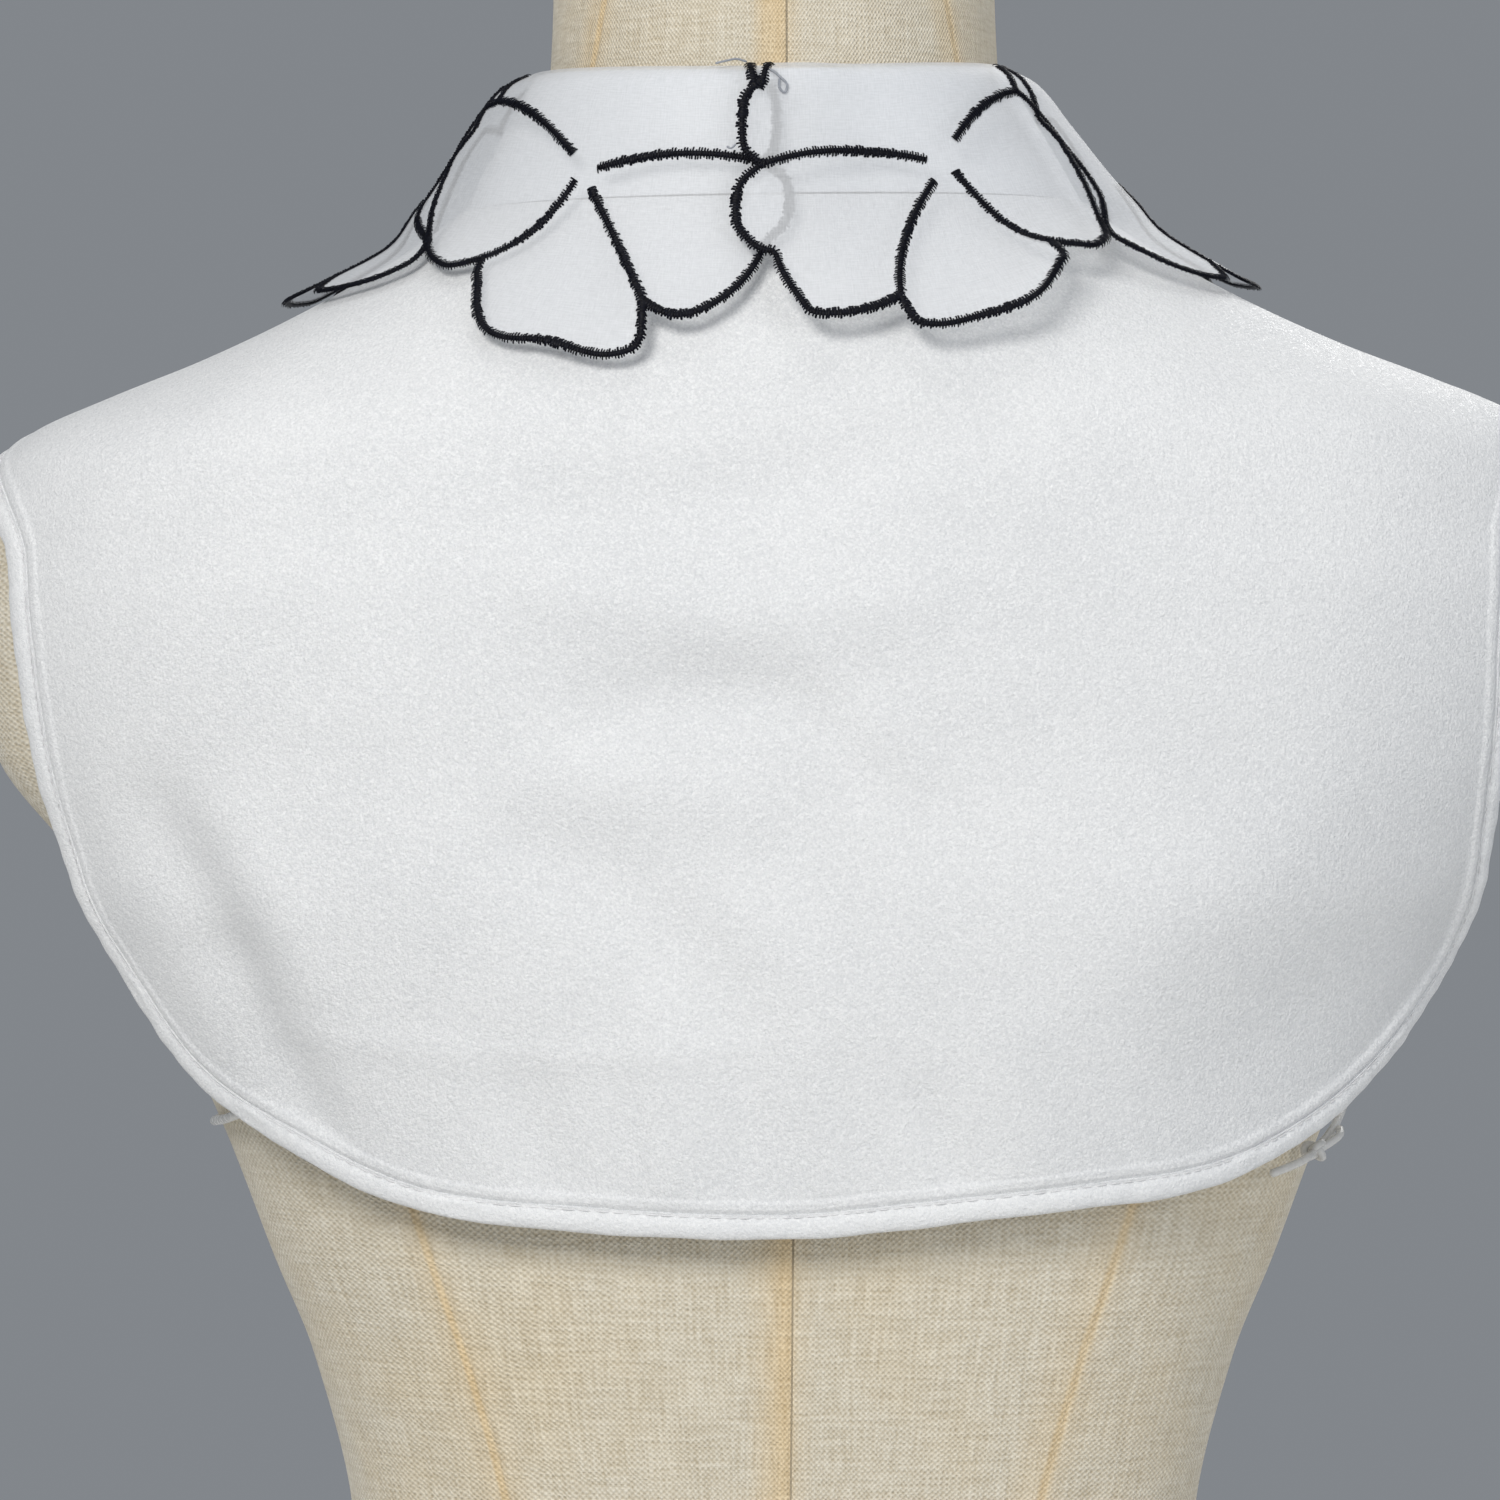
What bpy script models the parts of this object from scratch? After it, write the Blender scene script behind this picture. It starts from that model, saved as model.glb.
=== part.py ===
"""Embroidered false collar, worn on a limbless dress form.

Metres, +Z up. The origin is on the floor under the axis of the neck. The garment's back faces +Y and the
wearer's left is +X. Angles run round the neck from the centre back (0) through the wearer's left (90) to
the centre front (180). A drop is a height in millimetres below the level of the collar's fold.
"""

import math

import bmesh
import bpy
import numpy as np
from mathutils import Matrix, Vector
from mathutils.geometry import delaunay_2d_cdt

MM = 0.001
SEAM = 0.3

# The collar's fold lies this high over the floor that the form stands on.
FOLD_HEIGHT = 560.0

# Dress form: drop, half width, depth to the back and to the front of the axis, and squareness of the
# section (2 is an ellipse).
FORM_SECTIONS = (
    (-45.0, 51.5, 50.0, 50.0, 2.0),
    (-16.0, 52.3, 50.8, 51.0, 2.0),
    (0.0, 53.6, 51.8, 51.2, 2.0),
    (10.0, 56.0, 53.0, 52.0, 2.0),
    (20.0, 61.0, 54.5, 54.2, 2.0),
    (30.0, 69.0, 56.5, 58.5, 2.0),
    (38.0, 79.0, 59.5, 61.5, 2.0),
    (48.0, 94.0, 63.0, 64.0, 2.0),
    (60.0, 116.0, 67.5, 67.0, 2.0),
    (70.0, 138.0, 71.5, 70.0, 2.0),
    (79.0, 161.0, 75.0, 73.5, 2.05),
    (87.0, 179.0, 78.0, 77.0, 2.1),
    (95.0, 188.0, 80.5, 80.5, 2.15),
    (110.0, 193.0, 84.0, 87.0, 2.2),
    (130.0, 194.0, 87.5, 96.0, 2.3),
    (160.0, 189.5, 90.0, 108.0, 2.3),
    (190.0, 168.0, 89.5, 115.0, 2.3),
    (210.0, 155.0, 88.5, 115.5, 2.3),
    (253.0, 134.5, 83.0, 109.0, 2.3),
    (288.0, 121.0, 78.0, 101.0, 2.3),
    (310.0, 112.0, 74.5, 97.0, 2.3),
    (349.0, 102.5, 68.0, 89.0, 2.3),
    (385.0, 100.0, 65.0, 86.0, 2.3),
    (420.0, 106.0, 68.0, 86.0, 2.3),
    (470.0, 125.0, 82.0, 88.0, 2.3),
    (520.0, 140.0, 96.0, 90.0, 2.3),
    (560.0, 146.0, 102.0, 92.0, 2.3),
)
FORM_SIDES = 36
# Domed top of the neck: shares of the topmost ring, and their rise above it.
NECK_DOME = ((0.9, 3.0), (0.6, 5.0))
FORM_TWIST = math.radians(-1.8)
# The wearer's right shoulder is a little higher; the slope dies out below the blades.
SHOULDER_TILT = 0.0157
TILT_ENDS = (150.0, 300.0)

# The bib follows the form over the shoulders and hangs clear of it lower down.
BACK_HANG = (8.0, 150.0, 285.0)
SIDE_HANG = (12.0, 160.0, 205.0)
BIB_INNER = 1.4
BIB_OUTER = 2.6

# Neck seam, and how much lower it runs at the centre front.
NECK_DROP = 35.0
FRONT_NECK_FALL = 12.0
SHOULDER_SEAM = 93.0

# Outer edge of the bib's back, from the wearer's left shoulder seam to the right one: angle and drop.
BACK_EDGE = (
    (93.0, 91.0),
    (85.0, 98.0),
    (78.5, 112.0),
    (76.0, 130.0),
    (75.2, 157.0),
    (75.4, 188.0),
    (73.8, 214.0),
    (69.5, 239.0),
    (60.5, 255.5),
    (46.0, 270.5),
    (24.0, 275.0),
    (0.0, 276.5),
    (-20.0, 274.0),
    (-42.0, 270.0),
    (-57.0, 265.5),
    (-68.0, 254.0),
    (-76.5, 237.0),
    (-81.5, 215.0),
    (-79.5, 190.0),
    (-77.5, 165.0),
    (-77.0, 135.0),
    (-79.5, 112.0),
    (-85.5, 98.0),
    (-93.0, 91.0),
)
# Share of an edge, from the shoulder seam on, over which its inner side turns to run along the seam.
SHOULDER_HOLD = 0.05
# How much further down the cloth the inner side lies at the seam than it would straight across the strip.
MITRE = 1.15
# Outer edge of a front, from the shoulder seam to the centre front.
FRONT_EDGE = (
    (93.2, 91.0),
    (99.0, 102.0),
    (103.0, 125.0),
    (104.5, 155.0),
    (105.0, 190.0),
    (108.0, 220.0),
    (116.0, 244.0),
    (130.0, 257.0),
    (152.0, 264.0),
    (179.8, 267.0),
)
BACK_GRID = (44, 12)
FRONT_GRID = (20, 10)
# Bound edge: how far it reaches in, and its section as (distance in from the edge, height over the form).
BINDING_WIDTH = 6.0
BINDING_SECTION = ((6.0, 1.2), (6.0, 2.8), (3.4, 3.3), (0.8, 2.9), (0.0, 2.0), (0.8, 1.1), (3.4, 1.0))

# Collar leaf worn turned down: drop below its own fold, half width, depths to the back and front, squareness.
COLLAR_SECTIONS = (
    (0.0, 59.0, 57.0, 57.0, 2.0),
    (1.5, 62.5, 59.5, 60.0, 2.0),
    (3.5, 66.0, 60.8, 61.5, 2.0),
    (14.0, 74.3, 62.6, 64.0, 2.0),
    (25.0, 82.0, 64.5, 66.5, 2.0),
    (33.0, 88.0, 66.5, 69.0, 2.0),
    (41.0, 93.0, 69.0, 72.0, 2.0),
    (51.5, 107.0, 72.5, 76.0, 2.0),
    (60.0, 124.0, 76.0, 80.0, 2.0),
    (75.0, 155.0, 81.5, 86.0, 2.05),
    (90.0, 185.0, 86.0, 92.0, 2.1),
)
# The fold sits a little to the wearer's left: how much, and the heights below it where that dies out.
COLLAR_SHIFT = (1.5, 10.0, 40.0)
COLLAR_DEPTH = 92.0
# The middle of the leaf's wall stays this far out of the form, more over the placket: that much more,
# and the angles from the centre front where it starts and ends.
COLLAR_CLEAR = 4.2
PLACKET_CLEAR = (1.8, 12.0, 28.0)
# Softness of the change from the leaf's own fall to lying on the bib, and where it may start.
COLLAR_SOFTNESS = 2.0
COLLAR_FALL = 12.0
COLLAR_HALF_WALL = 0.5
FOLD_LOW_BACK = 3.8
FOLD_LOW_FRONT = 14.0
# Over the top of the stand: distance before the fold, how far in, how high.
COLLAR_CAP = ((-2.4, 2.0, 1.0), (-1.2, 1.0, 0.85), (0.0, 0.0, 0.0))
# The right leaf laps over the left at the centre back.
LAP_RISE = 2.7
FOLD_LAP_RISE = 1.3
LAP_ENDS = (-22.0, -5.0)
# Petals curl up towards their tips: how much, and how far below the fold it starts and ends.
PETAL_LIFT = (2.2, 45.0, 75.0)

# Stitched outlines.
CORD_WIDTH = 2.5
CORD_BASE = COLLAR_HALF_WALL + 0.6
CORD_TOP = CORD_BASE + 0.6

# Stand between the neck seam and the fold.
BAND_HALF_WALL = 0.5
BAND_IN = 1.6
BAND_GAP = 0.007
BAND_GRID = (52, 2)

PLACKET_WIDTH = 24.0
PLACKET_WALL = (2.9, 3.9)
PLACKET_GRID = (4, 12)
BUTTON_DROPS = (102.0, 148.0, 194.0, 240.0)
BUTTON_RADIUS = 5.0
BUTTON_THICK = 2.2
BUTTON_ROUNDING = 0.5
BUTTON_SIDES = 16

ELASTIC_RADIUS = 1.2
ELASTIC_PARTS = 12
# Route of the elastic under the arm: angle, drop, and how far its middle is out from the form, which it
# touches between its ends inside the bib's two edges.
ELASTIC_ROUTE = (
    (58.0, 244.0, 9.4),
    (67.0, 249.0, 7.4),
    (77.0, 252.0, 2.2),
    (92.0, 254.0, 1.9),
    (108.0, 252.0, 3.0),
    (117.0, 247.0, 8.2),
    (124.0, 243.0, 9.2),
)

# Flowers at the ends of the leaves: at the back of the left and of the right leaf, and at the front of both.
# Middle: angle round the neck and distance below the fold.
# Joints of the outline: angle round the flower's middle from straight down, positive away from the leaf's
# end, and radius, then the radius and angle where the spoke to the joint starts (radius 0 is no spoke) and
# how far the spoke bows.
# Lobes between the joints: swell over the joints, fullness, skew (under 1 swells early) and waviness.
LEFT_FLOWER = (39.2, 28.7)
LEFT_JOINTS = (
    (-94.7, 42.5, 3.4, -105.0, 3.2),
    (-71.0, 49.0, 0.0, 0.0, 0.0),
    (-34.7, 41.4, 5.3, -29.0, 0.3),
    (37.6, 32.8, 3.4, 38.0, 2.4),
    (112.7, 43.1, 5.7, 134.0, -3.6),
)
LEFT_LOBES = (
    (4.0, 2.2, 1.0, 0.0),
    (7.0, 1.8, 1.9, 0.0),
    (11.2, 1.9, 0.56, 2.0),
    (13.5, 2.2, 1.05, 0.0),
)
RIGHT_FLOWER = (-34.4, 28.5)
RIGHT_JOINTS = (
    (-92.7, 42.1, 3.7, -120.0, 3.2),
    (-67.9, 51.7, 0.0, 0.0, 0.0),
    (-27.2, 39.4, 4.5, -32.0, 2.6),
    (38.8, 33.4, 4.3, 62.0, 1.2),
    (119.5, 34.9, 8.1, 139.0, -2.8),
)
RIGHT_LOBES = (
    (3.6, 2.2, 1.0, 0.0),
    (7.0, 1.8, 1.6, 0.0),
    (8.5, 2.4, 0.75, 0.6),
    (14.5, 1.6, 0.55, 0.0),
)
FRONT_FLOWER = (139.0, 30.0)
FRONT_JOINTS = (
    (-95.0, 42.0, 3.6, -80.0, 3.2),
    (-68.0, 44.5, 0.0, 0.0, 0.0),
    (-35.0, 41.0, 5.0, -27.0, 0.5),
    (38.0, 34.5, 4.2, 40.0, 2.0),
    (112.0, 41.5, 6.0, 130.0, -3.6),
)
FRONT_LOBES = (
    (5.0, 2.2, 1.0, 0.0),
    (8.0, 2.0, 1.3, 0.0),
    (12.0, 1.8, 0.7, 1.5),
    (13.5, 2.2, 1.05, 0.0),
)
# The flower over the shoulder, half way along the leaf.
SHOULDER_FLOWER = (91.0, 35.0)
LEFT_SHOULDER_JOINTS = (
    (-66.0, 40.0, 0.0, 0.0, 0.0),
    (-24.0, 37.0, 4.5, -24.0, 1.5),
    (24.0, 37.0, 4.5, 24.0, -1.5),
    (66.0, 40.0, 0.0, 0.0, 0.0),
)
RIGHT_SHOULDER_JOINTS = (
    (-70.0, 42.0, 0.0, 0.0, 0.0),
    (-24.0, 38.0, 4.5, -24.0, 1.5),
    (24.0, 37.0, 4.5, 24.0, -1.5),
    (66.0, 40.0, 0.0, 0.0, 0.0),
)
SHOULDER_LOBES = (
    (11.0, 2.5, 1.1, 0.0),
    (10.0, 2.5, 1.0, 0.0),
    (11.0, 2.5, 0.9, 0.0),
)
# Upper corner of a leaf's end: the angle of its edge at the fold, how far the bump under it swells past that
# edge, and how far below the fold the bump starts.
LEFT_CORNER = (1.6, 2.8, 6.2)
RIGHT_CORNER = (2.8, 5.4, 6.2)
FRONT_CORNER = (172.5, 5.0, 4.5)
CORNER_PARTS = 6
CORNER_FULLNESS = 2.4
STRIP_DEPTH = 26.0
# The line between a petal and the next flower runs up to this far below the fold.
PETAL_TOP = 5.0
FLAT_RADIUS = 75.0
EDGE_STEP = 5.6
STRIP_STEP = 9.0
SPOKE_STEP = 8.4
GRID_STEP = 10.5
# Rows of points that round the fold, as distances below it.
FOLD_LEVELS = (-1.2, 0.0, 2.0, 4.5)


def smoothstep(value, low, high):
    t = min(max((value - low) / (high - low), 0.0), 1.0)
    return t * t * (3.0 - 2.0 * t)


class Curve:
    """A monotone cubic through a table's rows, the first column driving the others."""

    def __init__(self, rows):
        self.keys = [row[0] for row in rows]
        self.columns = [[row[c] for row in rows] for c in range(1, len(rows[0]))]
        self.slopes = [self.find_slopes(column) for column in self.columns]

    def find_slopes(self, column):
        keys = self.keys
        rises = [(column[i + 1] - column[i]) / (keys[i + 1] - keys[i]) for i in range(len(keys) - 1)]
        slopes = [rises[0]]
        for before, after in zip(rises, rises[1:]):
            slopes.append(0.0 if before * after <= 0 else 2.0 * before * after / (before + after))
        slopes.append(rises[-1])
        return slopes

    def __call__(self, key):
        keys = self.keys
        key = min(max(key, keys[0]), keys[-1])
        i = 0
        while i < len(keys) - 2 and key > keys[i + 1]:
            i += 1
        h = keys[i + 1] - keys[i]
        t = (key - keys[i]) / h
        values = []
        for ys, ms in zip(self.columns, self.slopes):
            start = ys[i] * (1 + 2 * t) * (1 - t) ** 2 + ms[i] * h * t * (1 - t) ** 2
            end = ys[i + 1] * t * t * (3 - 2 * t) - ms[i + 1] * h * t * t * (1 - t)
            values.append(start + end)
        return values


def along(rows, share):
    """A point on the smooth line through the rows, share running from 0 to 1."""
    at = min(max(share, 0.0), 1.0) * (len(rows) - 1)
    i = min(int(at), len(rows) - 2)
    t = at - i
    before, start = rows[max(i - 1, 0)], rows[i]
    end, after = rows[i + 1], rows[min(i + 2, len(rows) - 1)]
    point = []
    for p, q, r, s in zip(before, start, end, after):
        bend = 2 * p - 5 * q + 4 * r - s
        twist = 3 * (q - r) + s - p
        point.append(0.5 * (2 * q + (r - p) * t + bend * t * t + twist * t ** 3))
    return point


form_section = Curve(FORM_SECTIONS)
collar_section = Curve(COLLAR_SECTIONS)
collar_cap = Curve(COLLAR_CAP)


def section_radius(angle, half_width, back, front, square):
    across, forth = abs(math.sin(angle)), math.cos(angle)
    depth = back if forth >= 0 else front
    return ((across / half_width) ** square + (abs(forth) / depth) ** square) ** (-1.0 / square)


def form_radius(angle, drop):
    return section_radius(angle - FORM_TWIST, *form_section(drop))


def cloth_radius(angle, drop):
    """Radius of the surface that the bib's layers are built out from."""
    side = math.sin(angle) ** 2
    back_hang = BACK_HANG[0] * smoothstep(drop, *BACK_HANG[1:])
    side_hang = SIDE_HANG[0] * smoothstep(drop, *SIDE_HANG[1:])
    return form_radius(angle, drop) + back_hang * (1 - side) + side_hang * side


def place(angle, radius, drop):
    x = radius * math.sin(angle)
    tilt = SHOULDER_TILT * x * (1 - smoothstep(drop, *TILT_ENDS))
    return np.array((x, radius * math.cos(angle), FOLD_HEIGHT - drop - tilt))


def outward(point, one_way, other_way):
    normal = np.cross(one_way, other_way)
    normal /= np.linalg.norm(normal)
    return normal if normal[0] * point[0] + normal[1] * point[1] > 0 else -normal


def cloth_point(angle, drop, out):
    here = place(angle, cloth_radius(angle, drop), drop)
    turn = 0.01
    around = place(angle + turn, cloth_radius(angle + turn, drop), drop) - here
    down = place(angle, cloth_radius(angle, drop + 1.0), drop + 1.0) - here
    return here + outward(here, around, down) * out


def neck_drop(angle):
    return NECK_DROP + FRONT_NECK_FALL * max(-math.cos(angle), 0.0) ** 2


def shoulder_hold(rows, share):
    """How much a place on an edge keeps to the shoulder seam, from 1 at the seam to 0 away from it."""
    far = rows[-1][0] < 0 and share > 0.5
    return 1.0 - smoothstep(1.0 - share if far else share, 0.0, SHOULDER_HOLD)


def edge_point(rows, share, inset):
    """Angle and drop of a point on the bib's outer edge, moved in along the cloth."""
    step = 0.004
    low, high = max(share - step, 0.0), min(share + step, 1.0)
    angle, drop = along(rows, share)
    first, last = along(rows, low), along(rows, high)
    angle = math.radians(angle)
    radius = cloth_radius(angle, drop)
    slant = math.hypot(1.0, cloth_radius(angle, drop + 1.0) - radius)
    run = math.radians(last[0] - first[0]) * radius
    fall = (last[1] - first[1]) * slant
    length = math.hypot(run, fall)
    turn = 1.0 if rows[0][0] > rows[-1][0] else -1.0
    share_across, share_down = turn * inset * fall / length, turn * inset * run / length
    hold = shoulder_hold(rows, share)
    share_across *= 1.0 - hold
    share_down *= 1.0 + hold * (MITRE - 1.0)
    return angle - share_across / radius, drop + share_down / slant


def material(name, colour, roughness):
    made = bpy.data.materials.new(name)
    made.use_nodes = True
    shader = made.node_tree.nodes["Principled BSDF"]
    shader.inputs["Base Color"].default_value = (*colour, 1.0)
    shader.inputs["Roughness"].default_value = roughness
    shader.inputs["Metallic"].default_value = 0.0
    return made


def add_mesh(collection, name, points, faces, made_of):
    mesh = bpy.data.meshes.new(name)
    mesh.from_pydata([tuple(float(c) * MM for c in point) for point in points], [], faces)
    obj = bpy.data.objects.new(name, mesh)
    collection.objects.link(obj)
    face_out(mesh)
    mesh.materials.append(made_of)
    mesh.shade_smooth()
    mesh.set_sharp_from_angle(angle=math.radians(40))
    return obj


def face_out(mesh):
    work = bmesh.new()
    work.from_mesh(mesh)
    bmesh.ops.recalc_face_normals(work, faces=work.faces)
    bmesh.ops.triangulate(work, faces=work.faces)
    work.to_mesh(mesh)
    work.free()


def wall_from_grid(point_at, columns, rows):
    """A closed wall: point_at(column share, row share, side) with side 0 inside and 1 outside."""
    points, faces = [], []
    for side in (0, 1):
        for i in range(columns + 1):
            for j in range(rows + 1):
                points.append(point_at(i / columns, j / rows, side))
    layer = (columns + 1) * (rows + 1)

    def number(side, i, j):
        return side * layer + i * (rows + 1) + j

    for side in (0, 1):
        for i in range(columns):
            for j in range(rows):
                corners = [number(side, i, j), number(side, i + 1, j)]
                corners += [number(side, i + 1, j + 1), number(side, i, j + 1)]
                faces.append(corners if side else corners[::-1])
    rim = [(i, 0) for i in range(columns)] + [(columns, j) for j in range(rows)]
    rim += [(i, rows) for i in range(columns, 0, -1)] + [(0, j) for j in range(rows, 0, -1)]
    for here, there in zip(rim, rim[1:] + rim[:1]):
        faces.append([number(0, *here), number(0, *there), number(1, *there), number(1, *here)])
    return points, faces


def tube_from_rings(rings):
    """A closed solid through equal rings, with a flat cap at each end."""
    size = len(rings[0])
    points = [point for ring in rings for point in ring]
    faces = []
    for k in range(len(rings) - 1):
        for i in range(size):
            j = (i + 1) % size
            faces.append([k * size + i, k * size + j, (k + 1) * size + j, (k + 1) * size + i])
    faces.append(list(range(size)))
    faces.append([(len(rings) - 1) * size + i for i in range(size)])
    return points, faces


def bib_panel(rows, first_angle, last_angle, flip):
    """A panel from the neck seam to just inside the binding."""

    def point_at(column, row, side):
        neck = math.radians(first_angle + (last_angle - first_angle) * column)
        edge, low = edge_point(rows, column, BINDING_WIDTH + SEAM)
        angle = neck + (edge - neck) * row
        top = neck_drop(neck) + SEAM
        drop = top + (low - top) * row
        return cloth_point(angle * flip, drop, BIB_OUTER if side else BIB_INNER)

    return point_at


def binding_rings(rows, count, flip):
    rings = []
    for i in range(count + 1):
        ring = []
        for inset, out in BINDING_SECTION:
            angle, drop = edge_point(rows, i / count, inset)
            ring.append(cloth_point(angle * flip, drop, out))
        rings.append(ring)
    return rings


def fold_drop(angle):
    back, front = max(math.cos(angle), 0.0), max(-math.cos(angle), 0.0)
    return FOLD_LOW_BACK * back ** 2 + FOLD_LOW_FRONT * front ** 2


def leaf_profile(angle, below):
    """Radius and drop of the leaf's middle surface, a given height below its fold."""
    drop = fold_drop(angle) + below
    radius = section_radius(angle, *collar_section(below))
    radius += COLLAR_SHIFT[0] * math.sin(angle) * (1 - smoothstep(below, *COLLAR_SHIFT[1:]))
    if below > COLLAR_FALL:
        lifted = cloth_point(angle, drop, 1.0) - cloth_point(angle, drop, 0.0)
        facing = max(lifted[0] * math.sin(angle) + lifted[1] * math.cos(angle), 0.3)
        from_front = math.degrees(math.acos(-math.cos(angle)))
        clear = COLLAR_CLEAR + PLACKET_CLEAR[0] * (1 - smoothstep(from_front, *PLACKET_CLEAR[1:]))
        lowest = cloth_radius(angle, drop) + clear / facing
        gap = radius - lowest
        radius = lowest + 0.5 * (gap + math.hypot(gap, COLLAR_SOFTNESS))
    return radius, drop


class Leaf:
    """The turned-down leaf, addressed by angle and by distance along the cloth from the fold."""

    TURN = math.radians(3.0)
    REACH = 108

    def __init__(self):
        self.first = -66
        self.rows = []
        belows = np.arange(0.0, COLLAR_DEPTH, 1.5)
        for k in range(self.first, -self.first + 1):
            profile = [leaf_profile(k * self.TURN, below) for below in belows]
            steps = [math.dist(a, b) for a, b in zip(profile, profile[1:])]
            lengths = np.concatenate(([0.0], np.cumsum(steps)))
            marks = np.arange(self.REACH + 1.0)
            radii = np.interp(marks, lengths, [p[0] for p in profile])
            drops = np.interp(marks, lengths, [p[1] for p in profile])
            self.rows.append((radii, drops))

    def profile(self, angle, down):
        at = angle / self.TURN - self.first
        i = min(max(int(at), 0), len(self.rows) - 2)
        at -= i
        mark = min(max(down, 0.0), self.REACH - 0.001)
        j = int(mark)
        mark -= j
        found = []
        for column in (0, 1):
            a, b = self.rows[i][column], self.rows[i + 1][column]
            near = a[j] * (1 - mark) + a[j + 1] * mark
            far = b[j] * (1 - mark) + b[j + 1] * mark
            found.append(near * (1 - at) + far * at)
        if down < 0:
            inward, rise = collar_cap(down)
            found = [found[0] - inward, found[1] - rise]
        return found

    def middle(self, angle, down):
        radius, drop = self.profile(angle, down)
        return place(angle, radius, drop)

    def point(self, angle, down, out, side):
        here = self.middle(angle, down)
        around = self.middle(angle + 0.02, down) - self.middle(angle - 0.02, down)
        fall = self.middle(angle, down + 0.6) - self.middle(angle, down - 0.6)
        normal = np.cross(around, fall)
        normal /= np.linalg.norm(normal)
        if normal @ np.array((math.sin(angle), math.cos(angle), 0.6)) < 0:
            normal = -normal
        curl = 0.6 + 0.4 * math.cos(3.1 * angle + 0.6)
        lift = PETAL_LIFT[0] * smoothstep(down, *PETAL_LIFT[1:]) * curl
        lap = 0.0
        if side < 0:
            lap = FOLD_LAP_RISE + (LAP_RISE - FOLD_LAP_RISE) * smoothstep(down, 0.0, 5.0)
            lap *= smoothstep(math.degrees(angle), *LAP_ENDS)
        return here + normal * (out + lift + lap)

    def unroll(self, middle, across, down, away):
        """Flat place of a flower's point: across (away from the leaf's end) and down from its middle."""
        angle = math.radians(middle[0])
        depth = middle[1] + down
        for _ in range(4):
            radius = self.profile(angle, depth)[0]
            half_way = self.profile(0.5 * (angle + math.radians(middle[0])), depth)[0]
            angle = math.radians(middle[0]) + away * across / (0.5 * (radius + half_way))
        return angle * FLAT_RADIUS, depth


def lobed_line(joints, lobes, step):
    """Outline through the joints, as (angle, radius) in radians and millimetres."""
    line = []
    for (start, near, *_), (end, far, *_), (swell, full, skew, wave) in zip(joints, joints[1:], lobes):
        span = math.radians(end - start)
        count = max(4, round(abs(span) * (near + swell) / step * 1.25))
        for k in range(count):
            t = k / count
            dome = (1 - abs(2 * t ** skew - 1) ** full) ** (1 / full)
            ripple = wave * math.sin(4 * math.pi * t)
            line.append((math.radians(start) + span * t, near + (far - near) * t + swell * dome + ripple))
    line.append((math.radians(joints[-1][0]), joints[-1][1]))
    return line


def spoke(joint):
    """Points of the bowed line that runs from near a flower's middle out to a joint of its outline."""
    angle, radius, start_radius, start_angle, bow = joint
    first = Vector(polar_points([(math.radians(start_angle), start_radius)])[0])
    last = Vector(polar_points([(math.radians(angle), radius)])[0])
    aside = (last - first).orthogonal().normalized()
    count = max(3, round((last - first).length / SPOKE_STEP))
    points = []
    for k in range(count + 1):
        t = k / count
        points.append(tuple(first.lerp(last, t) + aside * bow * 4 * t * (1 - t)))
    return points


def polar_points(line):
    return [(radius * math.sin(angle), radius * math.cos(angle)) for angle, radius in line]


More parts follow.
